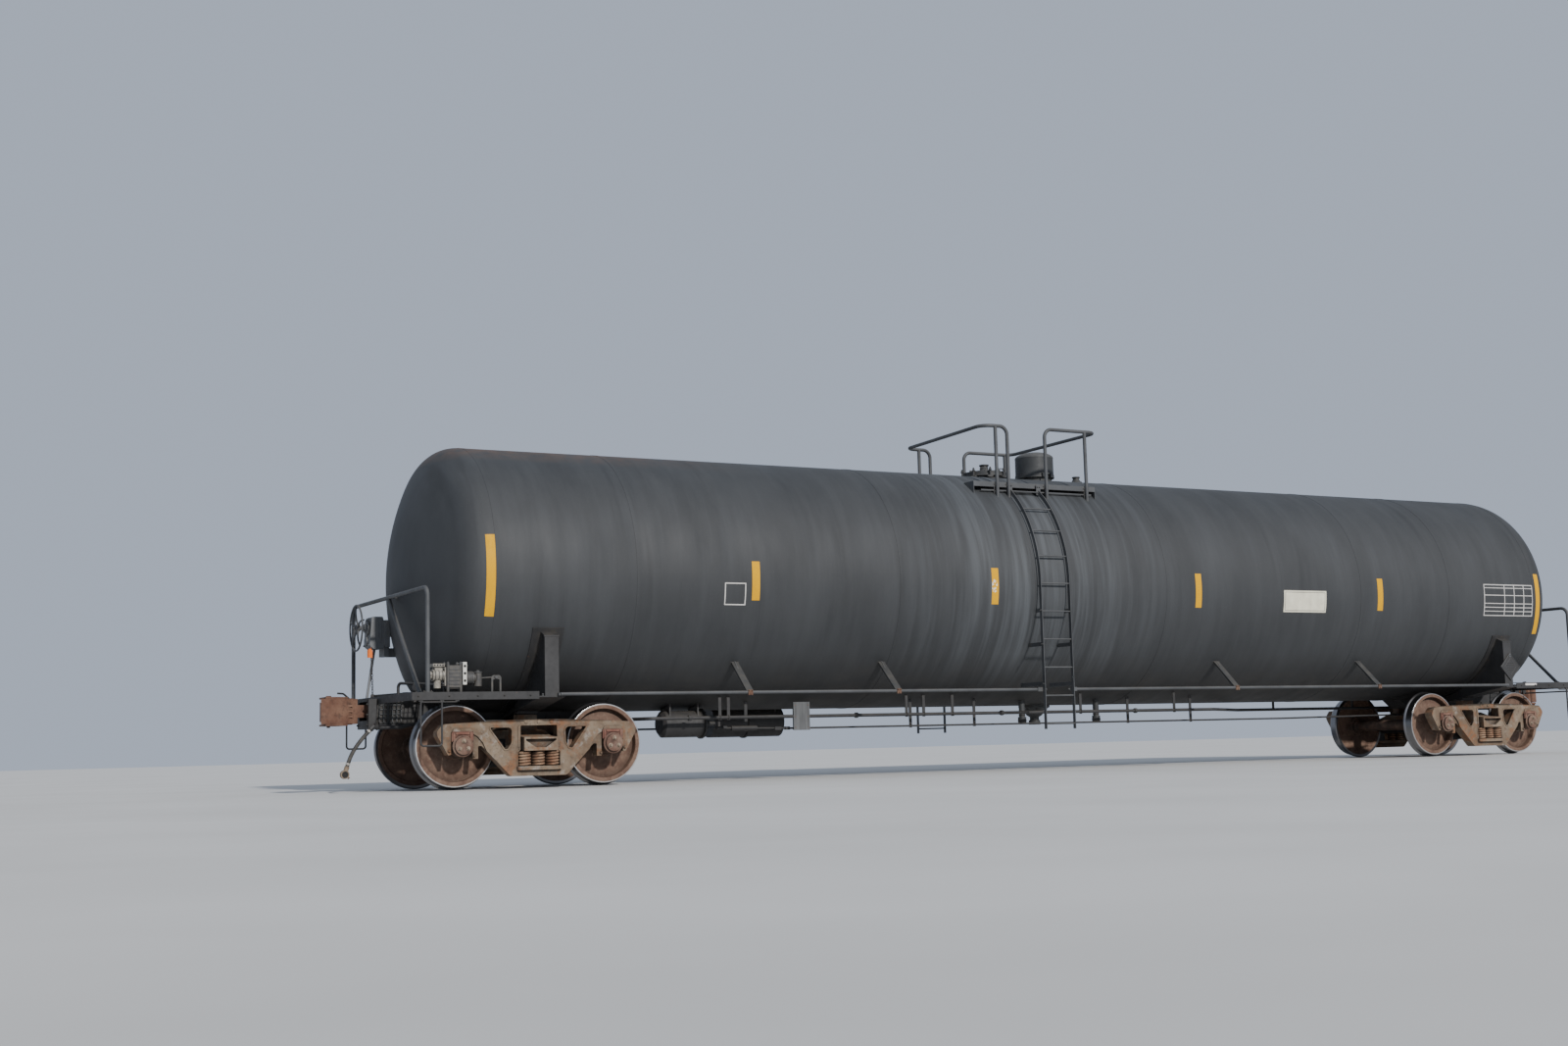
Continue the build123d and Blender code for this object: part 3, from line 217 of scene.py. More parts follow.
def jacket_paint():
    """Matt charcoal jacket paint with wash streaks, painted shade darkening the belly, and rust haze on
    top.
    """
    s = Shader("jacket_paint", (0.023, 0.0252, 0.028))
    s.coat(s.spots(0.9, 0.32, 0.68, 5, 0.6, (1, 1, 0.6)), (0.0345, 0.0375, 0.0412))
    pale = s.spots(5.0, 0.45, 0.75, 6, 0.62, (1.0, 0.16, 0.1))
    s.coat(pale, (0.06, 0.065, 0.071), 0.3)
    s.coat(s.spots(7.0, 0.58, 0.74, 5, stretch=(1.0, 0.12, 0.07)), (0.014, 0.0155, 0.0175), 0.45)
    # Spill and wash marks down both sides of the fittings in the middle
    middle = s.span(s.maths("ABSOLUTE", s.maths("ADD", s.axis("X"), 0.9)), 2.3, 0.4)
    runs = s.spots(9.0, 0.42, 0.66, 5, 0.6, (1.0, 0.05, 0.05))
    s.coat(s.times(middle, runs), (0.085, 0.094, 0.104), 0.7)
    # Painted shade darkening the belly, with road dust over it in patches
    low = s.span(s.axis("Z"), 1.5, 1.0, 0.0, 0.85)
    s.coat(low, (0.012, 0.012, 0.0125))
    s.coat(s.times(low, s.spots(4.0, 0.45, 0.75, 6, stretch=(0.6, 1, 1))), (0.06, 0.053, 0.045), 0.4)
    # Brown haze on the top of the B end
    top = s.times(s.span(s.axis("Z"), 3.7, 3.93), s.span(s.axis("X"), -4.6, -7.0))
    s.coat(s.times(top, s.spots(6.0, 0.3, 0.62, 6)), (0.1, 0.056, 0.034), 0.8)
    s.coat(s.spots(150.0, 0.62, 0.75, 2), (0.2, 0.2, 0.19), 0.12)
    rough = s.span(s.noise(3.0, 5, stretch=(1, 0.3, 0.2)), 0.3, 0.7, 0.6, 0.74)
    height = s.maths("ADD", s.noise(1.6, 2, stretch=(0.6, 1, 1)), s.times(s.noise(90.0), 0.02))
    return s.finish(rough, height, 0.25, 0.01)


def wheel_steel(name):
    """Brown plate, bright rim and greyer tread, by distance from the axle's centre line."""
    s = Shader(name, (0.092, 0.046, 0.03))
    from_truck = s.maths("SUBTRACT", s.off_middle("X"), TRUCK_X)
    from_axle = s.maths("SUBTRACT", s.maths("ABSOLUTE", from_truck), WHEELBASE / 2)
    up = s.maths("SUBTRACT", s.axis("Z"), AXLE_Z)
    radius = s.maths("SQRT", s.maths("ADD", s.times(from_axle, from_axle), s.times(up, up)))
    s.coat(s.spots(9.0, 0.36, 0.64, 7, 0.65), (0.16, 0.098, 0.068))
    s.coat(s.spots(24.0, 0.5, 0.72, 6, 0.7), (0.24, 0.17, 0.12), 0.6)
    s.coat(s.times(s.span(radius, 0.3, 0.13), s.spots(7.0, 0.3, 0.62, 6)), (0.022, 0.016, 0.013), 0.8)
    # Painted shade: darker in the wheel's corners and hollows
    s.coat(s.crevice(0.1), (0.03, 0.018, 0.012), 0.6)
    worn = s.span(s.maths("ADD", radius, s.times(s.noise(40.0), 0.006)), 0.44, 0.444)
    face = s.mix(s.span(radius, 0.455, 0.4565), (0.62, 0.61, 0.6), (0.12, 0.12, 0.13))
    s.coat(worn, s.mix(s.span(s.off_middle("Y"), 0.819, 0.815), face, (0.22, 0.22, 0.23)))
    height = s.times(s.noise(70.0, 5), s.maths("SUBTRACT", 1.0, worn))
    return s.finish(s.span(worn, 0, 1, 0.78, 0.3), height, 0.3, 0.0015, worn)


def reflector(name):
    """Yellow prismatic tape: a fine honeycomb under dirt, with a chip out of one strip."""
    s = Shader(name, (0.58, 0.28, 0.0))
    cells = s.node("ShaderNodeTexVoronoi", {"Vector": s.place, "Scale": 260.0}, feature="DISTANCE_TO_EDGE")
    comb = cells.outputs["Distance"]
    s.bsdf.inputs["Specular IOR Level"].default_value = 0.12
    s.coat(s.span(comb, 0.02, 0.1), (0.72, 0.38, 0.0))
    dirt = s.spots(11.0, 0.5, 0.8, 6, 0.65, (1, 1, 0.35))
    s.coat(dirt, (0.3, 0.15, 0.004), 0.25)
    near = s.times(s.span(s.axis("X"), -1.7, -1.64), s.span(s.axis("X"), -1.57, -1.63))
    high = s.times(s.span(s.axis("Z"), 2.22, 2.28), s.span(s.axis("Z"), 2.44, 2.36))
    there = s.span(s.times(near, high), 0.3, 0.5)
    s.coat(s.times(s.spots(26.0, 0.5, 0.54, 5, 0.6), there), (0.72, 0.72, 0.68))
    return s.finish(s.span(dirt, 0, 1, 0.5, 0.75), comb, 0.15, 0.0004)


def worn_print(name, ink, under=(0.022, 0.024, 0.027), wear=0.52, rough=0.6):
    """Flat paint or film, scuffed through to the dark coat below."""
    s = Shader(name, ink)
    s.coat(s.spots(8.0, 0.3, 0.7, 5), [c * 0.78 for c in ink])
    scuff = s.spots(48.0, wear + 0.1, wear + 0.17, 6, 0.7, (1, 1, 0.5))
    s.coat(s.spots(14.0, 0.55, 0.8, 5, stretch=(1.0, 0.15, 0.1)), [c * 0.45 for c in ink], 0.4)
    s.coat(scuff, under)
    return s.finish(rough, scuff, 0.2, 0.0003)


def worn_metal(name, base, dust, metal=0.6, rough=0.42):
    """Bare or polished metal dulled by dust and spots of rust."""
    s = Shader(name, base)
    dusty = s.spots(40.0, 0.42, 0.7, 6, 0.7)
    s.coat(dusty, dust)
    s.coat(s.spots(90.0, 0.62, 0.7, 5, 0.7), (0.12, 0.055, 0.03), 0.7)
    shine = s.times(s.maths("SUBTRACT", 1.0, dusty), metal)
    return s.finish(s.span(dusty, 0, 1, rough, 0.8), s.noise(160.0, 3), 0.2, 0.0004, shine)


def valve_castings(name):
    """Pale alloy at the outer portion of the control valve, dark painted iron from its bracket inwards."""
    s = Shader(name)
    pale = s.mix(s.spots(22.0, 0.35, 0.65, 6, 0.65), (0.36, 0.34, 0.29), (0.17, 0.155, 0.13))
    dark = s.mix(s.spots(18.0, 0.35, 0.65, 6, 0.65), (0.04, 0.041, 0.043), (0.085, 0.08, 0.072))
    s.colour = s.mix(s.span(s.axis("X"), -8.724, -8.722), pale, dark)
    # Painted shade: darker in the casting's corners and hollows
    s.coat(s.crevice(0.03), (0.015, 0.014, 0.013), 0.85)
    s.coat(s.spots(36.0, 0.52, 0.66, 7, 0.7), (0.06, 0.045, 0.035), 0.6)
    return s.finish(s.span(s.noise(30.0), 0.3, 0.7, 0.45, 0.75), s.noise(110.0, 5), 0.35, 0.001)


def grained_board(name):
    """Bare grey board with its grain upright."""
    s = Shader(name, (0.05, 0.052, 0.055))
    grain = s.spots(30.0, 0.32, 0.68, 7, 0.6, (1.0, 1.0, 0.08), 0.4)
    s.coat(grain, (0.125, 0.13, 0.135))
    s.coat(s.spots(9.0, 0.6, 0.72, 4, stretch=(1.0, 1.0, 0.3)), (0.05, 0.048, 0.046), 0.6)
    return s.finish(0.8, grain, 0.4, 0.001)


def rubber(name):
    """Black rubber under road dust."""
    s = Shader(name, (0.018, 0.017, 0.016))
    dust = s.spots(18.0, 0.38, 0.7, 6, 0.65)
    s.coat(dust, (0.085, 0.078, 0.068))
    return s.finish(s.span(dust, 0, 1, 0.6, 0.85), s.noise(120.0, 3), 0.25, 0.0008)


# Shapes
# Radius that stands for a point where a turned shape closes on its axis
POINT_R = 1e-5


def circle(at, r, count, first=0.0, plane="XY"):
    """Points evenly round a circle, the first one at an angle in degrees."""
    points = []
    for k in range(count):
        a = radians(first + 360 / count * k)
        p = list(at)
        p["XYZ".index(plane[0])] += r * cos(a)
        p["XYZ".index(plane[1])] += r * sin(a)
        points.append(tuple(p))
    return points


def grid(*coordinates):
    """Every point made of one X, Y and Z, where each is a number or a tuple of them."""
    return product(*[c if isinstance(c, tuple) else (c,) for c in coordinates])


def about(middle, half):
    """The range, or the pair of places, on both sides of a middle."""
    return middle - half, middle + half


def bend(before, corner, after, r, steps):
    """Points round a corner of radius r between two straight runs."""
    back, ahead = (before - corner).normalized(), (after - corner).normalized()
    half = back.angle(ahead) / 2
    start, end = corner + back * (r / tan(half)), corner + ahead * (r / tan(half))
    centre = corner + (back + ahead).normalized() * (r / sin(half))
    swings = [(start - centre).lerp(end - centre, k / steps) for k in range(steps + 1)]
    return [centre + swing.normalized() * r for swing in swings]


def bent(points, radii, steps=8):
    """Points along straight runs with round bends at the inner corners."""
    points = [Vector(p) for p in points]
    path = points[:1]
    for before, corner, after, r in zip(points, points[1:], points[2:], radii):
        path += bend(before, corner, after, r, steps)
    return path + points[-1:]


def round_ring(centre, side, other, r, sides):
    """Points of a circle of radius r in the plane of two unit vectors."""
    turns = [2 * pi * k / sides for k in range(sides)]
    return [centre + (side * cos(a) + other * sin(a)) * r for a in turns]


def band(inner, outer, chamfer, wide, start=0.0):
    """Profile of a raised ring with chamfered edges."""
    end = start + wide
    return [(inner, start), (outer, start + chamfer), (outer, end - chamfer), (inner, end)]


def button(r, edge, top_r, top):
    """Profile of a round head with a chamfered top."""
    return [(r, 0), (r, edge), (top_r, top), (0.0, top)]


class Shape:
    """Vertices and faces gathered for one piece."""

    def __init__(self):
        self.verts = []
        self.faces = []

    def skin(self, rings, closed=False, ends=(True, True)):
        """Quads between rings of equal length, with flat end caps unless the last ring meets the first."""
        base, size, count = len(self.verts), len(rings[0]), len(rings)
        self.verts += [tuple(p) for ring in rings for p in ring]
        for j in range(count if closed else count - 1):
            a, b = base + j * size, base + (j + 1) % count * size
            for i in range(size):
                k = (i + 1) % size
                self.faces.append([a + i, a + k, b + k, b + i])
        if ends[0] and not closed:
            self.faces.append([base + i for i in range(size)][::-1])
        if ends[1] and not closed:
            self.faces.append([base + (count - 1) * size + i for i in range(size)])
        return self

    def tube(self, points, r, sides=12, closed=False):
        """A round bar along points, whose radius may be a list."""
        pts = [Vector(p) for p in points]
        count = len(pts)
        radii = r if isinstance(r, list) else [r] * count
        side = None
        rings = []
        for i, (p, radius) in enumerate(zip(pts, radii)):
            before = pts[i - 1] if closed or i > 0 else p
            after = pts[(i + 1) % count] if closed or i < count - 1 else p
            along = (after - before).normalized()
            if side is None:
                side = along.orthogonal().normalized()
            side = (side - along * side.dot(along)).normalized()
            rings.append(round_ring(p, side, along.cross(side), radius, sides))
        return self.skin(rings, closed)

    def hoop(self, at, r, wire, count, sides=6):
        """A ring of round bar about the X direction."""
        return self.tube(circle(at, r, count, plane="YZ"), wire, sides, closed=True)

    def lathe(self, profile, at, axis, sides=32):
        """A turned shape from (radius, height) pairs about an axis through at."""
        along = Vector(axis).normalized()
        side = along.orthogonal().normalized()
        rings = [round_ring(Vector(at) + along * h, side, along.cross(side), max(r, POINT_R), sides)
                 for r, h in profile]
        return self.skin(rings, ends=[r > 10 * POINT_R for r, _ in (profile[0], profile[-1])])

    def prism(self, outline, plane, low, high):
        """An outline in plane "XY", "XZ" or "YZ", from low to high along the third axis."""
        turn = {"XY": (0, 1, 2), "XZ": (0, 2, 1), "YZ": (2, 0, 1)}[plane]
        rings = [[[(a, b, level)[i] for i in turn] for a, b in outline] for level in (low, high)]
        return self.skin(rings)

    def box(self, x, y, z):
        (x0, x1), (y0, y1) = sorted(x), sorted(y)
        return self.prism([(x0, y0), (x1, y0), (x1, y1), (x0, y1)], "XY", *sorted(z))

    def bolt(self, at, axis, size):
        """Hexagon head on a washer, size being half its width over corners."""
        self.lathe([(size * 1.35, 0), (size * 1.35, size * 0.22)], at, axis, 14)
        self.lathe([(size, 0), (size, size * 0.8), (size * 0.85, size)], at, axis, 6)
        self.lathe([(size * 0.55, size), (size * 0.55, size * 1.5)], at, axis, 8)

    def bolts(self, places, axis, size, turn=1):
        """Bolts at several places; a turn of -1 moves them half round the car."""
        for x, y, z in places:
            self.bolt((turn * x, turn * y, z), (turn * axis[0], turn * axis[1], axis[2]), size)

    def plain(self, name, material):
        """The gathered faces as an object of the scene."""
        mesh = bpy.data.meshes.new(name)
        mesh.from_pydata(self.verts, [], self.faces)
        mesh.materials.append(material)
        made = bpy.data.objects.new(name, mesh)
        scene.collection.objects.link(made)
        return made

    def object(self, name, finish, body="car_body", smooth=35, bevel=0.0, replaces=()):
        """The finished piece, riding on its body and standing for the CAD nodes it replaces."""
        made = self.plain(name, PAINT[finish])
        mesh = made.data
        mesh.validate()
        work = bmesh.new()
        work.from_mesh(mesh)
        bmesh.ops.recalc_face_normals(work, faces=work.faces)
        work.to_mesh(mesh)
        work.free()
        mesh.update()
        if smooth:
            mesh.polygons.foreach_set("use_smooth", [True] * len(mesh.polygons))
            mesh.set_sharp_from_angle(angle=radians(smooth))
        if bevel:
            round_edges(made, bevel, 40)
        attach(made, body)
        if replaces:
            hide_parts(*replaces)


def round_edges(obj, width, angle):
    edge = obj.modifiers.new("edge", "BEVEL")
    edge.width = width
    edge.segments = 2
    edge.limit_method = "ANGLE"
    edge.angle_limit = radians(angle)


# Finishes of the CAD nodes
# Width of the worn edges where it isn't 1.5 mm
EDGE_WIDTHS = {"cast_tan": 0.006, "adapter_red": 0.005, "coupler_rust": 0.01, "gladhand_iron": 0.003,
               "wheel_steel": 0.004, "brake_grey": 0.003, "valve_grey": 0.003, "jacket": 0.0008}
# The materials by name, filled in by finishes()
PAINT = {}
# How each finish is made, and its colours and amounts
FINISHES = {
    "black_steel": (painted, (0.017, 0.017, 0.018), (0.11, 0.095, 0.075), 0.35),
    "rail_grey": (painted, (0.045, 0.048, 0.052), (0.14, 0.125, 0.1), 0.15),
    "cast_tan": (side_frame_steel,),
    "spring_rust": (cast, (0.2, 0.095, 0.05), (0.06, 0.03, 0.018), (0.33, 0.22, 0.14)),
    "wheel_steel": (wheel_steel,),
    "coupler_rust": (cast, (0.105, 0.046, 0.028), (0.045, 0.022, 0.016), (0.165, 0.088, 0.056)),
    "adapter_red": (cast, (0.15, 0.058, 0.04), (0.05, 0.024, 0.018), (0.22, 0.12, 0.085)),
    "valve_grey": (valve_castings,),
    "brake_grey": (painted, (0.095, 0.1, 0.106), (0.17, 0.155, 0.13), 0.1),
    "hose_rubber": (rubber,),
    "gladhand_iron": (cast, (0.16, 0.11, 0.075), (0.05, 0.03, 0.022), (0.22, 0.17, 0.12)),
    "fittings_dark": (painted, (0.022, 0.024, 0.026), (0.13, 0.115, 0.09), 0.3),
    "fittings_grey": (painted, (0.046, 0.048, 0.05), (0.13, 0.12, 0.1), 0.15),
    "reflector": (reflector,),
    "cream_plate": (worn_print, (0.8, 0.77, 0.62), (0.38, 0.34, 0.25), 0.62),
    "stencil_white": (worn_print, (0.72, 0.7, 0.67), (0.022, 0.024, 0.027), 0.54),
    "flange_white": (worn_print, (0.62, 0.61, 0.56), (0.15, 0.1, 0.07), 0.54),
    "orange_plastic": (worn_print, (0.86, 0.17, 0.004), (0.35, 0.1, 0.02), 0.6, 0.45),
    "cap_brown": (cast, (0.125, 0.066, 0.046), (0.045, 0.028, 0.022), (0.2, 0.13, 0.095)),
    "bolt_tan": (worn_metal, (0.3, 0.24, 0.18), (0.15, 0.095, 0.06), 0.15, 0.6),
    "bright_steel": (worn_metal, (0.5, 0.48, 0.45), (0.22, 0.17, 0.13)),
    # Black rubber, also used as painted shade for holes and slots
    "rubber_black": (worn_print, (0.012, 0.012, 0.012), (0.05, 0.045, 0.04), 0.56, 0.8),
    "valve_dark": (painted, (0.045, 0.046, 0.048), (0.13, 0.115, 0.095), 0.3),
    "clamp_rust": (cast, (0.11, 0.05, 0.03), (0.04, 0.025, 0.018), (0.17, 0.105, 0.07)),
    "board_grey": (grained_board,),
}


def soften_edges(obj, width):
    """Rounded, smoothly shaded edges on a CAD node, as modifiers over its unchanged mesh."""
    obj.data.polygons.foreach_set("use_smooth", [True] * len(obj.data.polygons))
    weld = obj.modifiers.new("weld", "WELD")
    weld.merge_threshold = 0.00005
    round_edges(obj, width, 35)
    flat = obj.modifiers.new("flat", "WEIGHTED_NORMAL")
    flat.keep_sharp = True


def finishes():
    """Makes every finish and puts the right one on each CAD node."""
    PAINT["jacket"] = jacket_paint()
    for name, (make, *amounts) in FINISHES.items():
        PAINT[name] = make(name, *amounts)
    slot_of = {part["node"]: part["material_slot"] for part in frame["record"]["subparts"]}
    for name, obj in nodes.items():
        slot = slot_of[name]
        obj.data.materials.clear()
        obj.data.materials.append(PAINT[slot])
        soften_edges(obj, EDGE_WIDTHS.get(slot, 0.0015))


# Floor and light
def make_studio():
    """A pale floor, a soft blue sky and one soft sun from the camera's side."""
    s = Shader("floor", (0.52, 0.52, 0.51))
    s.coat(s.spots(0.4, 0.3, 0.7, 3), (0.58, 0.58, 0.57))
    ground = Shape().box((-150, 150), (-60, 150), (-0.05, 0.0)).plain("floor", s.finish(0.9))

    world = bpy.data.worlds.new("sky")
    world.use_nodes = True
    background = world.node_tree.nodes["Background"]
    background.inputs["Color"].default_value = (0.72, 0.82, 1.0, 1)
    background.inputs["Strength"].default_value = 0.6
    scene.world = world

    sun = bpy.data.lights.new("sun", "SUN")
    sun.energy = 3.95
    sun.angle = radians(2.5)
    sun.color = (1.0, 0.96, 0.91)
    lamp = bpy.data.objects.new("sun", sun)
    towards = Vector((0.05, -0.85, 0.48))
    lamp.rotation_euler = towards.to_track_quat("Z", "Y").to_euler()
    scene.collection.objects.link(lamp)


# Air hoses
HOSE_DIAMETER = 0.044
# Middle line of the B end's hose, from its angle cock to its gladhand; a turn of -1 gives the A end's
HOSE_ROUTE = [(-9.252, -0.342, 0.69), (-9.3, -0.343, 0.64), (-9.353, -0.342, 0.582),
              (-9.403, -0.34, 0.517), (-9.447, -0.337, 0.447), (-9.483, -0.333, 0.371),
              (-9.508, -0.33, 0.29)]


def air_hose(end, turn):
    """One brake hose as a smooth curve through the air, from angle cock to gladhand."""
    data = bpy.data.curves.new(f"brake_hose_{end}", "CURVE")
    data.dimensions = "3D"
    data.bevel_depth = HOSE_DIAMETER / 2
    data.bevel_resolution = 6
    data.resolution_u = 12
    data.use_fill_caps = True
    line = data.splines.new("NURBS")
    line.points.add(len(HOSE_ROUTE) - 1)
    for point, (x, y, z) in zip(line.points, HOSE_ROUTE):
        point.co = (turn * x, turn * y, z, 1)
    line.order_u = 3
    line.use_endpoint_u = True
    data.materials.append(PAINT["hose_rubber"])
    hose = bpy.data.objects.new(f"brake_hose_{end}", data)
    scene.collection.objects.link(hose)
    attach(hose, "car_body")
    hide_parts(f"air_hose_{end}")


def dress_hose(end, turn):
    """Clamps at both ends of a brake hose, and the seal and horn of its gladhand."""
    route = [Vector((turn * x, turn * y, z)) for x, y, z in HOSE_ROUTE]
    leave, arrive = (route[1] - route[0]).normalized(), (route[-1] - route[-2]).normalized()
    bands, seal, horn = Shape(), Shape(), Shape()
    for middle, axis in ((route[0] + leave * 0.014, leave), (route[-1] - arrive * 0.04, arrive)):
        bands.lathe(band(0.0215, 0.0248, 0.001, 0.022), middle, axis, 28)
        side = axis.cross(Vector(UP)).normalized()
        bands.bolt(middle + axis * 0.011 + side * 0.027, side.cross(axis), 0.007)
    bands.object(f"hose_clamps_{end}", "bright_steel")
    x, y, z = route[-1] + arrive * 0.09
    seal.lathe([(0.03, 0), (0.034, 0.003), (0.034, 0.007), (0.02, 0.007), (0.017, 0.001), (0.0, 0.001)],
               (x, y - turn * 0.025, z), (0, -turn, 0))
    seal.object(f"gladhand_seal_{end}", "rubber_black")
    horn.tube([(x + turn * dx, y, z - down) for dx, down in ((0.03, 0.02), (0.052, 0.04), (0.034, 0.05))],
              [0.013, 0.01, 0.007], 10)
    horn.object(f"gladhand_horn_{end}", "gladhand_iron")


# Jacket trim
REFLECTOR_WIDE = 0.102
# X of the middle, length round the jacket
REFLECTORS = [(-8.253, 0.914), (-5.009, 0.457), (-1.626, 0.457), (1.667, 0.457), (5.0, 0.457),
              (8.247, 0.914)]
REFLECTOR_ANGLE = -2.9
LAST_REFLECTOR_ANGLE = -6.3
# X range, lower and upper angle of each blank plate and stencil frame
SIGN_PLATE = (3.18, 3.961, -12.9, -1.7)
CLASS_FRAME = (-5.415, -5.14, -13.6, -3.9)
TABLE_FRAME = (7.1, 8.131, -13.2, 4.2)
# Left edges of the table's inner lines, and their heights as shares of the table's
TABLE_COLUMNS = (7.527, 7.733, 7.936)
TABLE_ROWS = (0.138, 0.262, 0.385, 0.646, 0.877)
LINE_WIDE = 0.012
LINE_TURN = degrees(LINE_WIDE / TANK_R)


def skin_radius(x):
    """Radius of the jacket at x, over the barrel and down the knuckles of the heads."""
    past = max(abs(x) - HEAD_TANGENT_X, 0.0)
    return TANK_R - KNUCKLE_R + sqrt(KNUCKLE_R ** 2 - past ** 2)


def tank_patch(shape, x_span, angles, side=-1, out=0.0012, steps=(1, 8)):
    """A thin bent plate on the jacket, between two heights given as degrees from its middle."""
    across, up = steps
    xs = [x_span[0] + (x_span[1] - x_span[0]) * i / across for i in range(across + 1)]
    rings = []
    for j in range(up + 1):
        a = radians(angles[0] + (angles[1] - angles[0]) * j / up)
        ring = []
        for row, proud in ((xs, out), (xs[::-1], -0.004)):
            for x in row:
                r = skin_radius(x) + proud
                ring.append((x, side * r * cos(a), TANK_Z + r * sin(a)))
        rings.append(ring)
    return shape.skin(rings)


def tank_frame(shape, x0, x1, low, high, wide=LINE_WIDE, out=0.0006):
    """A painted rectangle outline on the near side of the jacket."""
    turn = degrees(wide / TANK_R)
    for x in (x0, x1 - wide):
        tank_patch(shape, (x, x + wide), (low, high), out=out)
    for a in (low, high - turn):
        tank_patch(shape, (x0 + wide, x1 - wide), (a, a + turn), out=out, steps=(1, 1))


def jacket_trim():
    """Reflective strips, blank plates and frames, and the lap seams of the heads."""
    strips, sign, edge, lines, laps = [Shape() for _ in range(5)]
    for x, length in REFLECTORS:
        half = degrees(length / TANK_R) / 2
        middle = LAST_REFLECTOR_ANGLE if x > TRUCK_X else REFLECTOR_ANGLE
        for side in BOTH:
            tank_patch(strips, about(x, REFLECTOR_WIDE / 2), about(middle, half), side, steps=(6, 20))
    strips.object("reflective_strips", "reflector")

    x0, x1, low, high = SIGN_PLATE
    tank_patch(sign, (x0, x1), (low, high), out=0.002)
    sign.object("blank_sign", "cream_plate")
    tank_frame(edge, x0 + 0.022, x1 - 0.022, low + 0.8, high - 0.8, 0.006, 0.0026)
    edge.object("sign_border", "fittings_dark")

    tank_frame(lines, *CLASS_FRAME)
    tank_frame(lines, *TABLE_FRAME)
    x0, x1, low, high = TABLE_FRAME
    for share in TABLE_ROWS:
        a = low + (high - low) * share
        tank_patch(lines, (x0 + LINE_WIDE, x1 - LINE_WIDE), (a, a + LINE_TURN * 0.8), -1, 0.0004, (1, 1))
    for x in TABLE_COLUMNS:
        tank_patch(lines, (x, x + LINE_WIDE), (low + LINE_TURN, high - LINE_TURN), out=0.0005)
    lines.object("stencil_frames", "stencil_white")

    for x in about(0, HEAD_TANGENT_X - 0.03):
        laps.lathe(band(TANK_R - 0.002, TANK_R + 0.002, 0.002, 0.06, -0.03), (x, 0, TANK_Z), TO_A, 160)
    laps.object("head_laps", "jacket")


# Trucks
AXLE_OFFSET = WHEELBASE / 2
FRAME_FACE_Y = JOURNAL_Y + 0.07
JAW_IN, JAW_OUT = about(AXLE_OFFSET, 0.127)
# X, Z and rounding of the corners of one window, and of the right half of the bolster opening
WINDOW = [(0.59, 0.685, 0.018), (0.306, 0.683, 0.052), (0.314, 0.5, 0.06), (0.362, 0.432, 0.016),
          (0.402, 0.428, 0.016)]
OPENING = [(0.256, 0.215, 0.02), (0.256, 0.402, 0.008), (0.224, 0.43, 0.008), (0.224, 0.704, 0.022)]
SPRING_PITCH_X = 0.166
SPRING_ROWS_Y = (0.895, 1.04)
SPRING_SEAT_Z = 0.245
SPRING_TOP_Z = 0.415


def rounded_loop(rows, steps=6):
    """Points round a closed outline whose corners each have their own radius."""
    corners = [Vector(row[:2]) for row in rows]
    path = []
    for i, row in enumerate(rows):
        path += bend(corners[i - 1], corners[i], corners[(i + 1) % len(rows)], row[2], steps)
    return path


def coil(shape, at, coil_r, wire_r, hand, turns, steps):
    """A helical spring with its end turns laid flat on the seats."""
    low, high = SPRING_SEAT_Z + wire_r, SPRING_TOP_Z - wire_r
    count = int(turns * steps)
    points = []
    for k in range(count + 1):
        t = k / count
        lift = min(max((t - 0.1) / 0.8, 0.0), 1.0)
        a = hand * 2 * pi * turns * t
        points.append((at[0] + coil_r * cos(a), at[1] + coil_r * sin(a), low + (high - low) * lift))
    shape.tube(points, wire_r, 8)


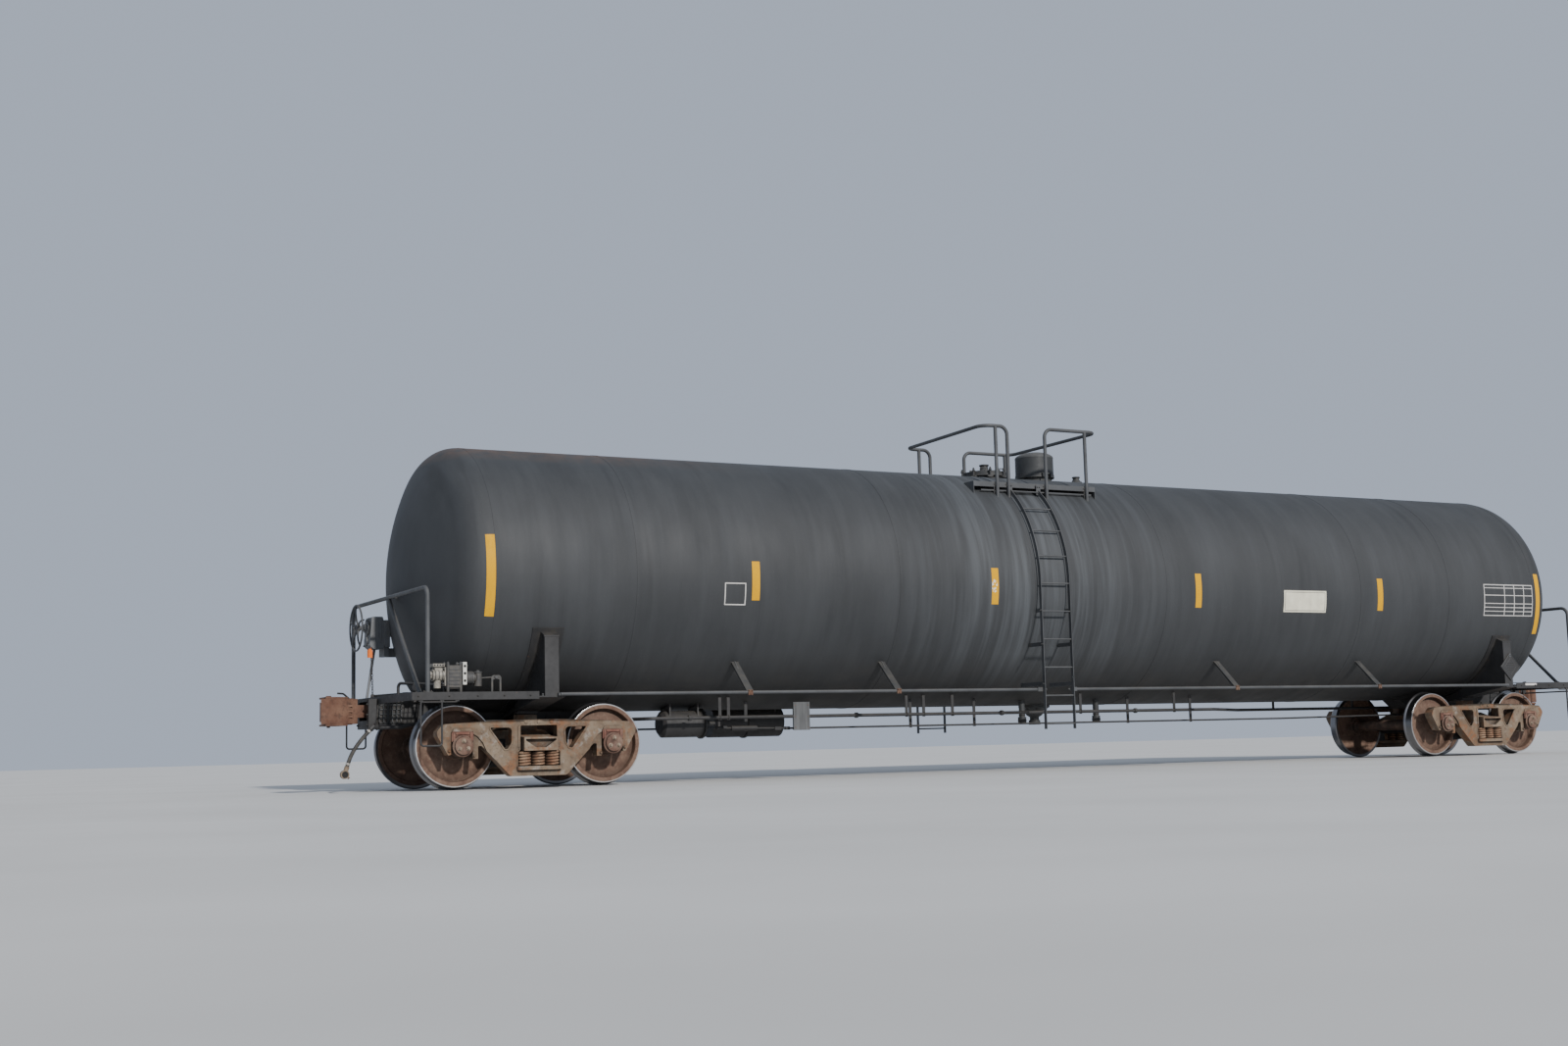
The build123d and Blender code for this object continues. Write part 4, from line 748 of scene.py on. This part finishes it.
def dress_truck(end, turn):
    """Springs of one truck, and the cast edges, lugs and bolts of its side frames and adapters."""
    centre = turn * TRUCK_X
    body = f"truck_{end}"
    coils, beads, ribs = Shape(), Shape(), Shape()
    for side, y, column in product(BOTH, SPRING_ROWS_Y, (-1, 0, 1)):
        at = (centre + column * SPRING_PITCH_X, side * y)
        coil(coils, at, 0.0655, 0.015, 1, 5.4, 20)
        coil(coils, at, 0.036, 0.009, -1, 7.4, 14)
    coils.object(f"coil_springs_{end}", "spring_rust", body, replaces=(f"springs_{end}",))

    opening = OPENING + [(-x, z, r) for x, z, r in reversed(OPENING)]
    loops = (opening, WINDOW, [(-x, z, r) for x, z, r in WINDOW])
    for side in BOTH:
        out, face = (0, side, 0), side * (FRAME_FACE_Y - 0.003)
        for rows in loops:
            beads.tube([(centre + x, face, z) for x, z in rounded_loop(rows)], 0.011, 8, closed=True)
        for sx in BOTH:
            # Lug at the pedestal's roof, and the keeper bolts on both sides of the jaw
            x = centre + sx * AXLE_OFFSET
            beads.prism([(x - 0.118, 0.64), (x + 0.118, 0.64), (x + 0.1, 0.672), (x - 0.1, 0.672)],
                        "XZ", face, face + side * 0.012)
            beads.bolt((centre + sx * (JAW_OUT + 0.022), side * FRAME_FACE_Y, 0.43), out, 0.016)
            beads.bolt((centre + sx * (JAW_IN - 0.012), side * (FRAME_FACE_Y - 0.018), 0.372), out, 0.014)
            # Wear plate on the bolster column
            beads.box(about(centre + sx * 0.235, 0.011), (face, face + side * 0.01), (0.455, 0.69))
            # Adapter crown pad over the bearing and the thrust lugs beside it
            y = side * (JOURNAL_Y + 0.085)
            ribs.box(about(x, 0.08), (y, y + side * 0.01), (0.606, 0.634))
            for lug_x in about(x, 0.098):
                ribs.box(about(lug_x, 0.013), (y, y + side * 0.008), (0.54, 0.628))
        beads.box(about(centre, 0.215), about(side * 1.117, 0.007), (0.204, 0.228))
        for dx in (-0.15, 0, 0.15):
            beads.lathe([(0.02, 0), (0.02, 0.006), (0.012, 0.008)],
                        (centre + dx, side * FRAME_FACE_Y, 0.735), out, 12)
    beads.object(f"side_frame_ribs_{end}", "cast_tan", body, bevel=0.003)
    ribs.object(f"adapter_ribs_{end}", "adapter_red", body, bevel=0.002)


def dress_axle(number, x):
    """End caps with their locking plates and three bolts, and the seal rings of the bearings."""
    body = f"wheelset_{number}"
    caps, bolts = Shape(), Shape()
    for side in BOTH:
        out = (0, side, 0)
        caps.lathe([(0.096, 0), (0.096, 0.004), (0.088, 0.01), (0.04, 0.01), (0.034, 0.005), (0.0, 0.005)],
                   (x, side * 1.126, AXLE_Z), out, 40)
        caps.lathe([(0.1, 0), (0.119, 0.002), (0.119, 0.01), (0.104, 0.016), (0.096, 0.016)],
                   (x, side * 1.089, AXLE_Z), out, 48)
        caps.lathe([(0.1, 0), (0.112, 0.002), (0.112, 0.026), (0.1, 0.03)],
                   (x, side * 0.884, AXLE_Z), out, 40)
        bolts.bolts(circle((x, side * 1.136, AXLE_Z), 0.056, 3, 90, "XZ"), out, 0.019)
    caps.object(f"bearing_caps_{number}", "cap_brown", body, smooth=40)
    bolts.object(f"cap_bolts_{number}", "bolt_tan", body, smooth=25)


# Ends of the car
RAIL_R = 0.024
RAILING_X = 8.95
RAILING_Y = 1.475
RAILING_Z = 2.19
STRIKER_X = 9.24
HAND_WHEEL = (-9.05, 0.88, 1.901)
HAND_WHEEL_R = 0.268
WHEEL_HUB_R = 0.03
VALVE_Y = -1.33


def link_chain(shape, top, bottom, pitch=0.03, wire=0.0042):
    """A hanging chain of oval links, each turned a quarter from the last."""
    start, drop = Vector(top), Vector(bottom) - Vector(top)
    count = int(drop.length / pitch)
    along = drop.normalized()
    side = along.orthogonal().normalized()
    for k in range(count + 1):
        across = side if k % 2 else along.cross(side)
        middle = start + drop * (k / count)
        shape.tube([middle + along * (0.62 * pitch * c) + across * (0.36 * pitch * s)
                    for c, s, _ in circle((0, 0, 0), 1, 12)], wire, 6, closed=True)


def end_rails():
    """Pipe railings across both ends; the brake housing takes the far diagonal's place at the B end."""
    rails = Shape()
    for turn, diagonals in ((1, BOTH), (-1, (-1,))):
        x = turn * RAILING_X
        rails.tube(bent([(x, -RAILING_Y, DECK_Z), (x, -RAILING_Y, RAILING_Z), (x, RAILING_Y, RAILING_Z),
                         (x, RAILING_Y, DECK_Z)], [0.11, 0.11]), RAIL_R, 20)
        for side in diagonals:
            rails.tube([(x, side * 0.012, RAILING_Z - 0.01), (x, side * 1.2, DECK_Z)], RAIL_R, 20)
        rails.box((turn * 8.79, x), (-0.03, 0.03), about(RAILING_Z, 0.006))
    rails.object("end_rails", "rail_grey", replaces=("end_railings",))


# X of the near and far corner, near and far leg, near and far post of each railing round the walkway
TOP_RAILS = ((-1.375, -1.27, -0.99, -0.88, -1.172, -1.061), (0.478, 0.5, -0.386, -0.308, 0.272, 0.396))
RAIL_Y = 1.019
RAIL_FOOT_Z = 3.5
RAIL_TOP_Z = 4.479


def top_rails():
    """The two C-shaped pipe railings round the ends of the walkway."""
    rails = Shape()
    for near, far, near_leg, far_leg, near_post, far_post in TOP_RAILS:
        rails.tube(bent([(near_leg, -RAIL_Y, RAIL_FOOT_Z), (near_leg, -RAIL_Y, RAIL_TOP_Z),
                         (near, -RAIL_Y, RAIL_TOP_Z), (far, RAIL_Y, RAIL_TOP_Z),
                         (far_leg, RAIL_Y, RAIL_TOP_Z), (far_leg, RAIL_Y, RAIL_FOOT_Z)],
                        [0.11, 0.15, 0.15, 0.11], 12), RAIL_R, 20)
        for x, y in ((near_post, -RAIL_Y), (far_post, RAIL_Y)):
            rails.tube([(x, y, RAIL_FOOT_Z), (x, y, RAIL_TOP_Z)], RAIL_R, 20)
    rails.object("top_rails", "rail_grey", replaces=("top_railings",))


def end_fittings(end, turn):
    """Bolts, plates and grating rods at one end; the B end is the A end turned half round."""
    bits, ribs, grating = Shape(), Shape(), Shape()
    for side in BOTH:
        out = (0, side, 0)
        # Foot plates of the railing and of its diagonals
        feet = ((RAILING_Y, 0.022), (1.2, 0.055))
        for y, wide in feet if end == "a" or side > 0 else feet[:1]:
            bits.box(about(turn * RAILING_X, 0.055), about(turn * side * y, wide), (DECK_Z, DECK_Z + 0.008))
            bits.bolts(grid(about(RAILING_X, 0.04), side * y, DECK_Z + 0.008), UP, 0.009, turn)
        # Bolt rows along the side sill, on the striker and along the stub sill
        bits.bolts(grid((7.8, 8.1, 8.4, 8.72, 9.06), side * SIDE_Y, 1.018), out, 0.01, turn)
        bits.bolts(grid(STRIKER_X, side * 0.198, (0.745, 0.86, 0.975)), TO_A, 0.013, turn)
        bits.bolts(grid((6.95, 7.12, 7.98, 8.2, 8.42, 8.64), side * 0.18, (0.8, 0.98)), out, 0.013, turn)
        # Ribbed side of the draft pocket behind the striker
        ys = about(turn * side * 0.189, 0.011)
        for k in range(6):
            step = 0.05 * k
            ribs.box(about(turn * (8.86 + step), 0.006), ys, (0.76, 1.02))
            ribs.box((turn * 8.854, turn * 9.116), ys, (0.76 + step, 0.771 + step))
        # Step and grab iron feet behind the sill web
        for x in (8.628, 8.797, 9.029):
            bits.box(about(turn * x, 0.022), (turn * side * 1.468, turn * side * 1.4925), (0.96, 0.9755))
    bits.object(f"end_bolts_{end}", "black_steel", bevel=0.0008)
    ribs.object(f"pocket_ribs_{end}", "rail_grey", bevel=0.0008)

    for k in range(-14, 15):
        y = turn * k * 0.1
        if abs(y) > 0.19:
            grating.tube([(turn * 8.648, y, 1.0565), (turn * 9.122, y, 1.0565)], 0.003, 6)
    grating.object(f"grating_{end}", "black_steel", smooth=0)


def brake_wheel():
    """The hand brake's wheel with its five dished spokes."""
    x, y, z = HAND_WHEEL
    rim_x = x - 0.03
    wheel = Shape().hoop((rim_x, y, z), HAND_WHEEL_R, 0.0115, 56, 10)
    for k in range(5):
        a = radians(90 + 72 * k)
        spoke, thick = [], []
        for step in range(9):
            t = step / 8
            r = WHEEL_HUB_R + (HAND_WHEEL_R - WHEEL_HUB_R) * t
            dish = 0.022 * (1 - t) ** 2 - 0.01 * sin(pi * t)
            spoke.append((rim_x + dish, y + r * cos(a), z + r * sin(a)))
            thick.append(0.013 - 0.004 * t)
        wheel.tube(spoke, thick, 10)
    hub = [(WHEEL_HUB_R, -0.048), (0.04, -0.04), (0.044, 0.0), (0.036, 0.01), (0.022, 0.016), (0.0, 0.016)]
    wheel.lathe(hub, (rim_x + 0.002, y, z), TO_B, 28)
    wheel.bolt((rim_x - 0.014, y, z), TO_B, 0.016)
    wheel.object("brake_wheel", "rail_grey", replaces=("hand_brake_wheel",))


def brake_housing():
    """Ribs and bolts of the hand brake housing, its chain, levers and orange tag."""
    _, y, z = HAND_WHEEL
    bits, chain, crank, rods, tag = [Shape() for _ in range(5)]
    bits.bolts(grid(-8.955, about(y, 0.1062), (z - 0.205, z - 0.02, z + 0.105)), TO_B, 0.01)
    bits.lathe([(0.09, 0), (0.09, 0.01), (0.078, 0.016), (0.058, 0.018)], (-8.952, y, z), TO_B, 36)
    bits.lathe(button(0.06, 0.012, 0.048, 0.018), (-8.952, y + 0.02, 1.745), TO_B, 30)
    bits.tube([(-8.956, y - 0.075, 1.985), (-8.985, y - 0.085, 1.99), (-9.0, y - 0.1, 1.96),
               (-9.002, y - 0.105, 1.88)], 0.008, 8)
    for k in range(4):
        bits.box(about(-8.925 + 0.035 * k, 0.005), (y - 0.1335, y - 0.13), (1.72, 1.98))
    bits.bolts(grid(-8.73, about(y, 0.0896), (1.835, 1.875, 1.592, 1.632)), TO_B, 0.008)
    bits.object("brake_housing_ribs", "brake_grey", bevel=0.0015)

    link_chain(chain, (-8.912, y - 0.04, 1.655), (-8.9, y - 0.06, 1.095))
    chain.object("brake_chain", "black_steel")
    crank.prism([(-8.935, 1.06), (-8.865, 1.06), (-8.88, 1.12), (-8.92, 1.12)], "XZ", y - 0.068, y - 0.056)
    crank.lathe([(0.016, -0.012), (0.016, 0.03)], (-8.9, y - 0.062, 1.095), NEAR, 16)
    crank.object("chain_anchor", "black_steel", bevel=0.002)

    lever = (-8.64, 0.3, 1.11)
    rods.tube([(-8.9, y - 0.062, 1.1), lever], 0.014, 10)
    rods.tube([lever, (-8.56, -0.42, 1.095)], 0.012, 10)
    rods.tube(bent([(-8.88, -0.15, 1.08), (-8.88, -0.15, 1.21), (-8.7, -0.62, 1.18),
                    (-8.56, -1.18, 1.13)], [0.05, 0.1]), 0.017, 12)
    rods.lathe([(0.055, -0.014), (0.055, 0.014)], (-8.64, 0.3, 1.108), UP, 20)
    rods.lathe(band(0.04, 0.048, 0.01, 0.08, -0.04), (-8.76, -0.47, 1.15), (1, 1, 0), 16)
    rods.object("brake_levers_b", "black_steel", bevel=0.001)
    tag.prism([(-8.985, 1.545), (-8.925, 1.545), (-8.925, 1.628), (-8.94, 1.65), (-8.97, 1.65),
               (-8.985, 1.628)], "XZ", y - 0.14, y - 0.136)
    tag.tube([(-8.955, y - 0.138, 1.64), (-8.946, y - 0.134, 1.656), (-8.935, y - 0.126, 1.668)], 0.0015, 6)
    tag.object("orange_tag", "orange_plastic", smooth=0)


def valve_fittings():
    """Flange plate, nuts, pipes and ribs of the control valve at the B end."""
    y = VALVE_Y
    plate, holes, nuts, casting, pipes = [Shape() for _ in range(5)]
    plate.box((-8.5395, -8.496), about(y, 0.0895), (1.14, 1.384))
    plate.object("valve_flange", "flange_white", bevel=0.002)
    # Black discs on the flange are painted shade standing for its holes
    for z in (1.182, 1.262, 1.34):
        holes.lathe([(0.015, 0), (0.015, 0.0016), (0.0, 0.0016)], (-8.5178, y - 0.0893, z), NEAR, 18)
    holes.object("flange_holes", "rubber_black", smooth=0)
    nuts.bolts(grid((-8.7, -8.557), about(y, 0.062), 1.368), UP, 0.014)
    nuts.bolts(grid(-8.496, about(y, 0.06), (1.18, 1.345)), TO_A, 0.013)
    nuts.bolts(grid(-8.735, about(y, 0.048), (1.15, 1.315)), TO_B, 0.011)
    nuts.bolts(circle((-8.405, y, 1.215), 0.058, 6, plane="YZ"), TO_A, 0.009)
    nuts.bolts(circle((-8.885, y, 1.245), 0.034, 6, plane="YZ"), TO_B, 0.007)
    nuts.bolts(grid((-8.845, -8.815, -8.785, -8.755), y - 0.066, 1.351), NEAR, 0.007)
    nuts.object("valve_nuts", "valve_dark", smooth=25)
    for k in range(5):
        casting.box((-8.69, -8.568), (y - 0.0795, y - 0.075), about(1.144 + 0.04 * k, 0.004))
    for k in range(3):
        casting.lathe(band(0.0715, 0.0755, 0.002, 0.01), (-8.48 + 0.025 * k, y, 1.215), TO_A, 40)
        casting.lathe(band(0.0635, 0.067, 0.002, 0.01), (-8.84 + 0.04 * k, y, 1.245), TO_A, 36)
    casting.lathe([(0.044, 0), (0.05, 0.004), (0.05, 0.014), (0.02, 0.018), (0.02, 0.03)],
                  (-8.345, y, 1.268), UP, 24)
    casting.lathe([(0.018, 0), (0.022, 0.004), (0.018, 0.012), (0.0, 0.012)],
                  (-8.135, y - 0.009, 1.222), NEAR, 18)
    casting.object("valve_ribs", "valve_dark", bevel=0.001)
    for x, r in ((-8.6, 0.014), (-8.67, 0.011)):
        pipes.tube([(x, y + 0.02, 1.112), (x, y + 0.02, 1.03), (x, y + 0.027, 1.012), (x, y + 0.045, 1.005),
                    (x, -0.17, 1.005)], r, 10)
        pipes.lathe([(0.024, 0), (0.024, 0.022), (0.018, 0.026)], (x, y + 0.02, 1.062), UP, 6)
    pipes.object("valve_pipes", "black_steel", smooth=40)


# Couplers
COUPLER_Z = 0.901
KNUCKLE_PIN = (9.595, -0.14)


def dress_coupler(end, turn):
    """Pin heads and cast ribs of one coupler."""
    x, y = turn * KNUCKLE_PIN[0], turn * KNUCKLE_PIN[1]
    bits = Shape()
    bits.lathe(button(0.034, 0.014, 0.024, 0.022), (x, y, COUPLER_Z + 0.1605), UP, 24)
    bits.lathe(button(0.02, 0.012, 0.012, 0.016), (x, y, COUPLER_Z - 0.161), DOWN, 20)
    for z in (-0.115, 0.115):
        bits.box(about(turn * 9.425, 0.05), (-0.055, 0.055), (COUPLER_Z + z, COUPLER_Z + z * 1.28))
    for z in (-0.06, 0, 0.06):
        bits.box((turn * 9.395, turn * 9.5), (turn * 0.139, turn * 0.146), about(COUPLER_Z + z, 0.012))
    bits.object(f"coupler_ribs_{end}", "coupler_rust", f"coupler_body_{end}", bevel=0.004)


# Sides of the car
GUARD_Y = 1.547
GUARD_Z = 1.025
GUARD_BRACKET_XS = (-5.13, -3.11, 2.23, 4.85)
# X of the left and right rail of the ladder on each side
LADDER_XS = {-1: (-0.978, -0.529), 1: (-0.86, -0.411)}
LADDER_BRACKET_ZS = (1.095, 1.595, 2.025)
LADDER_Y = 1.599
PLACARD = (7.578, 1.295, 0.205)


def side_fittings():
    """Clamps of the guard pipes, bolts of the ladders and beads at the posts, on both sides."""
    clamps, bolts, beads, faces, label = [Shape() for _ in range(5)]
    for side in BOTH:
        out, y = (0, side, 0), side * GUARD_Y
        front = y + side * 0.0265
        for x in GUARD_BRACKET_XS:
            for hoop_x in about(x, 0.014):
                clamps.hoop((hoop_x, y, GUARD_Z), 0.0225, 0.005, 16)
            clamps.box(about(x, 0.03), (y + side * 0.0205, front), (0.992, 1.052))
            clamps.bolts([*grid(about(x, 0.018), front, 1.042), (x, front, 1.003)], out, 0.008)
            # Wide face of the strut and its foot on the jacket
            for half, outline in ((0.045, ((1.561, 1.04), (1.541, 1.034), (1.134, 1.4), (1.154, 1.412))),
                                  (0.062, ((1.175, 1.394), (1.15, 1.372), (1.105, 1.412), (1.13, 1.434)))):
                faces.prism([(side * away, z) for away, z in outline], "YZ", *about(x, half))
        for x, outward in zip(LADDER_XS[side], BOTH):
            bolts.bolts(grid(x + outward * 0.005, about(side * LADDER_Y, 0.012), LADDER_BRACKET_ZS),
                        (outward, 0, 0), 0.008)
            bolts.bolt((x - outward * 0.045, y + side * 0.027, GUARD_Z), out, 0.009)
        for middle in (-TRUCK_X, TRUCK_X):
            # Weld bead where the post's cap meets the tank
            beads.tube([(middle + dx, side * y, z) for dx, y, z in
                        ((-0.09, 1.385, 1.715), (0, 1.386, 1.7155), (0.09, 1.385, 1.715))], 0.006, 8)
            bolts.bolts(grid(about(middle, 0.11), side * SIDE_Y, (1.008, 1.026)), out, 0.008)
    clamps.object("guard_clamps", "clamp_rust", bevel=0.0008)
    faces.object("guard_strut_faces", "fittings_dark", bevel=0.002)
    bolts.object("side_bolts", "rail_grey")
    beads.object("weld_beads", "clamp_rust")

    label.box((7.89, 8.13), (-1.5006, -1.498), (1.018, 1.048))
    label.object("sill_label", "stencil_white", smooth=0)


def placards():
    """Raised rims and the lock tab of the blank diamond holders, and black strips of painted shade for
    their slots.
    """
    x0, z0, half = PLACARD
    bits, slots = Shape(), Shape()
    for turn in (1, -1):
        x, y = turn * x0, -turn * (SIDE_Y + 0.016)
        for share, wire in ((0.955, 0.0065), (0.58, 0.003)):
            r = half * share
            rim = [(x, y, z0 - r), (x + r, y, z0), (x, y, z0 + r), (x - r, y, z0)]
            bits.tube(rim, wire, 6, closed=True)
        bits.box(about(x, 0.018), (y, y - turn * 0.007), (z0 + 0.14, z0 + 0.195))
        bits.bolt((x, y - turn * 0.007, z0 + 0.168), (0, -turn, 0), 0.007)
        # Thin black strips are painted shade standing for the holder's slots
        for dz, dx in product((-0.052, -0.018, 0.018, 0.052), (-0.06, -0.02, 0.02, 0.06)):
            ys = (y + turn * 0.001, y - turn * 0.0008)
            slots.box(about(x + turn * dx, 0.015), ys, about(z0 + dz, 0.004))
    bits.object("placard_rims", "rail_grey", bevel=0.001)
    slots.object("placard_slots", "rubber_black", smooth=0)


# Top fittings
MANWAY_X = -0.67
MANWAY_FACE_Z = 3.985
SPOOL_TOP_Z = 4.133
BONNET_X = 0.17
BONNET_R = 0.262
BONNET_BASE_Z = 4.0
RELIEF_X = 0.88
PLATFORM_X = (-1.53, 0.425)
PLATFORM_Z = 3.742


def manway_trim():
    """Nuts, rim and handles of the manway's cover, its gasket, and the fittings of both necks."""
    lid, gasket, neck = Shape(), Shape(), Shape()
    lid.bolts(circle((MANWAY_X, 0, SPOOL_TOP_Z - 0.015), 0.058, 6), DOWN, 0.007)
    lid.bolts(circle((MANWAY_X, 0, 4.038), 0.074, 8, 10), UP, 0.009)
    lid.lathe([(0.262, 0), (0.27, 0.004), (0.284, 0.004), (0.29, 0)],
              (MANWAY_X, 0, MANWAY_FACE_Z + 0.0285), UP, 64)
    handle = ((-0.045, 4.028), (-0.045, 4.052), (-0.036, 4.062), (0.036, 4.062), (0.045, 4.052),
              (0.045, 4.028))
    for x in about(MANWAY_X, 0.15):
        lid.tube([(x + dx, -0.19, z) for dx, z in handle], 0.007, 8)
    lid.object("cover_fittings", "fittings_dark", "manway_lid", bevel=0.001)
    gasket.lathe([(0.055, 0), (0.055, 0.0025), (0.048, 0.0025), (0.046, 0.0005), (0.0, 0.0005)],
                 (MANWAY_X, 0, SPOOL_TOP_Z), UP)
    gasket.object("spool_gasket", "rubber_black", "manway_lid")
    for angle in (-190, -150, -110, -70, -30, 10):
        c, s = cos(radians(angle)), sin(radians(angle))
        x, y = MANWAY_X + 0.327 * c, 0.327 * s
        neck.lathe(band(0.013, 0.016, 0.004, 0.08, -0.04), (x, y, MANWAY_FACE_Z - 0.047), (-s, c, 0), 14)
        neck.lathe([(0.022, 0), (0.024, 0.003), (0.022, 0.006)], (x, y, MANWAY_FACE_Z + 0.032), UP, 20)
    neck.lathe([(0.256, 0), (0.264, -0.01), (0.256, -0.02)], (MANWAY_X, 0, 3.955), UP, 64)
    neck.bolts(circle((BONNET_X, 0, BONNET_BASE_Z - 0.025), 0.246, 12, 15), DOWN, 0.01)
    neck.object("neck_fittings", "fittings_dark", bevel=0.001)


def bonnet_trim():
    """The bonnet's low dome, the rivets round its foot, its top knob and the bolts of its hinge."""
    dome, cap = Shape(), Shape()
    arch = [(0.265 * cos(radians(6 * k)), 0.09 * sin(radians(6 * k))) for k in range(15)]
    dome.lathe([(0.262, -0.006), *arch, (0.0, 0.09)], (BONNET_X, 0, 4.256), UP, 96)
    dome.object("bonnet_dome", "fittings_grey", "bonnet_lid")
    for x, y, z in circle((BONNET_X, 0, BONNET_BASE_Z + 0.01), BONNET_R + 0.005, 14, 8):
        cap.lathe([(0.007, -0.002), (0.0055, 0.002), (0.0, 0.0035)], (x, y, z), (x - BONNET_X, y, 0), 10)
    cap.lathe([(0.018, -0.002), (0.016, 0.006), (0.0, 0.009)], (BONNET_X, 0, 4.345), UP, 20)
    cap.bolts(grid(BONNET_X + 0.2925, about(0, 0.011), BONNET_BASE_Z + 0.022), TO_A, 0.006)
    cap.object("bonnet_fittings", "fittings_dark", "bonnet_lid", bevel=0.0008)


def top_trim():
    """Relief valve fittings, grip on the walkway, and the plates and nuts of railings and ladders."""
    small, deck, nuts = Shape(), Shape(), Shape()
    small.bolts(circle((RELIEF_X, 0, 3.96), 0.07, 4, 45), UP, 0.009)
    small.lathe([(0.052, 0), (0.056, -0.004), (0.056, -0.016), (0.046, -0.022)],
                (RELIEF_X, 0, 4.038), UP, 30)
    small.lathe([(0.043, 0), (0.047, 0.004), (0.043, 0.008)], (RELIEF_X, 0, 4.016), UP, 30)
    small.object("relief_fittings", "fittings_dark")

    x0, x1 = PLATFORM_X
    sunk = PLATFORM_Z - 0.001
    for side in BOTH:
        outer, inner = side * 0.985, side * 0.655
        for k in range(int((x1 - x0 - 0.12) / 0.045)):
            deck.box(about(x0 + 0.075 + 0.045 * k, 0.002), (outer, inner), (sunk, PLATFORM_Z + 0.004))
        for k in range(5):
            y = outer + (inner - outer) * (k + 0.5) / 5
            deck.box((x0 + 0.065, x1 - 0.065), about(y, 0.0025), (sunk, PLATFORM_Z + 0.0035))
    deck.object("walkway_grip", "rail_grey", smooth=0)

    for side, first in ((-1, 2), (1, 3)):
        # The leg and the post of each railing on this side
        for x in TOP_RAILS[0][first::2] + TOP_RAILS[1][first::2]:
            nuts.box(about(x, 0.028), about(side * 1.002, 0.004), (3.69, 3.734))
            nuts.bolts(grid(about(x, 0.03825), side, 3.712), (0, side, 0), 0.008)
        # Plates that hang the ladder from the walkway
        for x in LADDER_XS[side]:
            nuts.box(about(x, 0.034), about(side * 1.026, 0.004), (3.59, 3.728))
            nuts.bolts(grid(about(x, 0.016), side * 1.03, (3.622, 3.696)), (0, side, 0), 0.01)
    nuts.object("railing_nuts", "rail_grey", bevel=0.0008)


# Underframe
def under_fittings():
    """Flange bolts, pipe unions, hanger clips and pins under the tank, and its pale board."""
    bits, board, nails = Shape(), Shape(), Shape()
    for at, r, plane, axis, size in (((-5.178, -0.33, 0.69), 0.168, "YZ", TO_A, 0.011),
                                     ((0, 0, 0.812), 0.17, "XY", DOWN, 0.013),
                                     ((0, 0, 0.65), 0.07, "XY", UP, 0.008)):
        bits.bolts(circle(at, r, 8, 22.5, plane), axis, size)
    bits.lathe([(0.05, 0), (0.05, -0.012), (0.02, -0.02), (0.02, -0.034), (0.0, -0.034)],
               (0, 0, 0.634), UP, 8)
    for x in (-0.487, 0.737):
        bits.lathe(band(0.0565, 0.0595, 0.004, 0.022), (x, -0.4, 0.64), UP, 10)
        bits.lathe([(0.044, 0), (0.048, 0.004), (0.044, 0.01)], (x, -0.4, 0.72), UP, 28)
    for x in (-5.5, -3.2, -1.0, 1.2):
        bits.lathe(band(0.03, 0.034, 0.004, 0.044), (x, -0.64, 0.755), TO_A, 8)
    for x in (-5.077, -4.962, -2.438, -2.181, -1.744, 0.3, 1.9):
        bits.hoop((x, -0.64, 0.755), 0.026, 0.006, 14)
    for x in (-4.657, -2.297, -1.318, 1.2, 2.3):
        bits.bolt((x, -0.505, 0.64), NEAR, 0.01)
        bits.hoop((x, -0.5, 0.612), 0.017, 0.005, 12)
    for y, (z, axis) in product((-0.5, 0.12, -0.33), ((0.652, UP), (0.628, DOWN))):
        bits.lathe([(0.02, 0), (0.02, 0.01), (0.01, 0.014)], (-4.965, y, z), axis, 16)
    bits.bolts(grid((-4.578, -3.798), 0.345, (0.8, 0.905)), TO_A, 0.01)
    for x, axis in ((-4.699, TO_B), (-3.701, TO_A)):
        bits.lathe(button(0.026, 0.02, 0.02, 0.026), (x, 0.48, 0.715), axis, 8)
    bits.object("underframe_bits", "black_steel", bevel=0.0008)

    board.box((-4.083, -3.857), (-0.6665, -0.662), (0.585, 0.928))
    board.object("pale_board", "board_grey", smooth=0)
    for at in grid((-4.06, -3.88), -0.6665, (0.62, 0.75, 0.89)):
        nails.lathe([(0.006, 0), (0.006, 0.002), (0.0, 0.004)], at, NEAR, 10)
    nails.object("board_nails", "clamp_rust")


make_camera()
finishes()
jacket_trim()
for end, turn in (("b", -1), ("a", 1)):
    dress_truck(end, turn)
    end_fittings(end, turn)
    dress_coupler(end, turn)
    air_hose(end, -turn)
    dress_hose(end, -turn)
AXLE_XS = (*about(-TRUCK_X, AXLE_OFFSET), *about(TRUCK_X, AXLE_OFFSET))
for number, x in enumerate(AXLE_XS, start=1):
    dress_axle(number, x)
end_rails()
top_rails()
brake_wheel()
brake_housing()
valve_fittings()
side_fittings()
placards()
manway_trim()
bonnet_trim()
top_trim()
under_fittings()
make_studio()
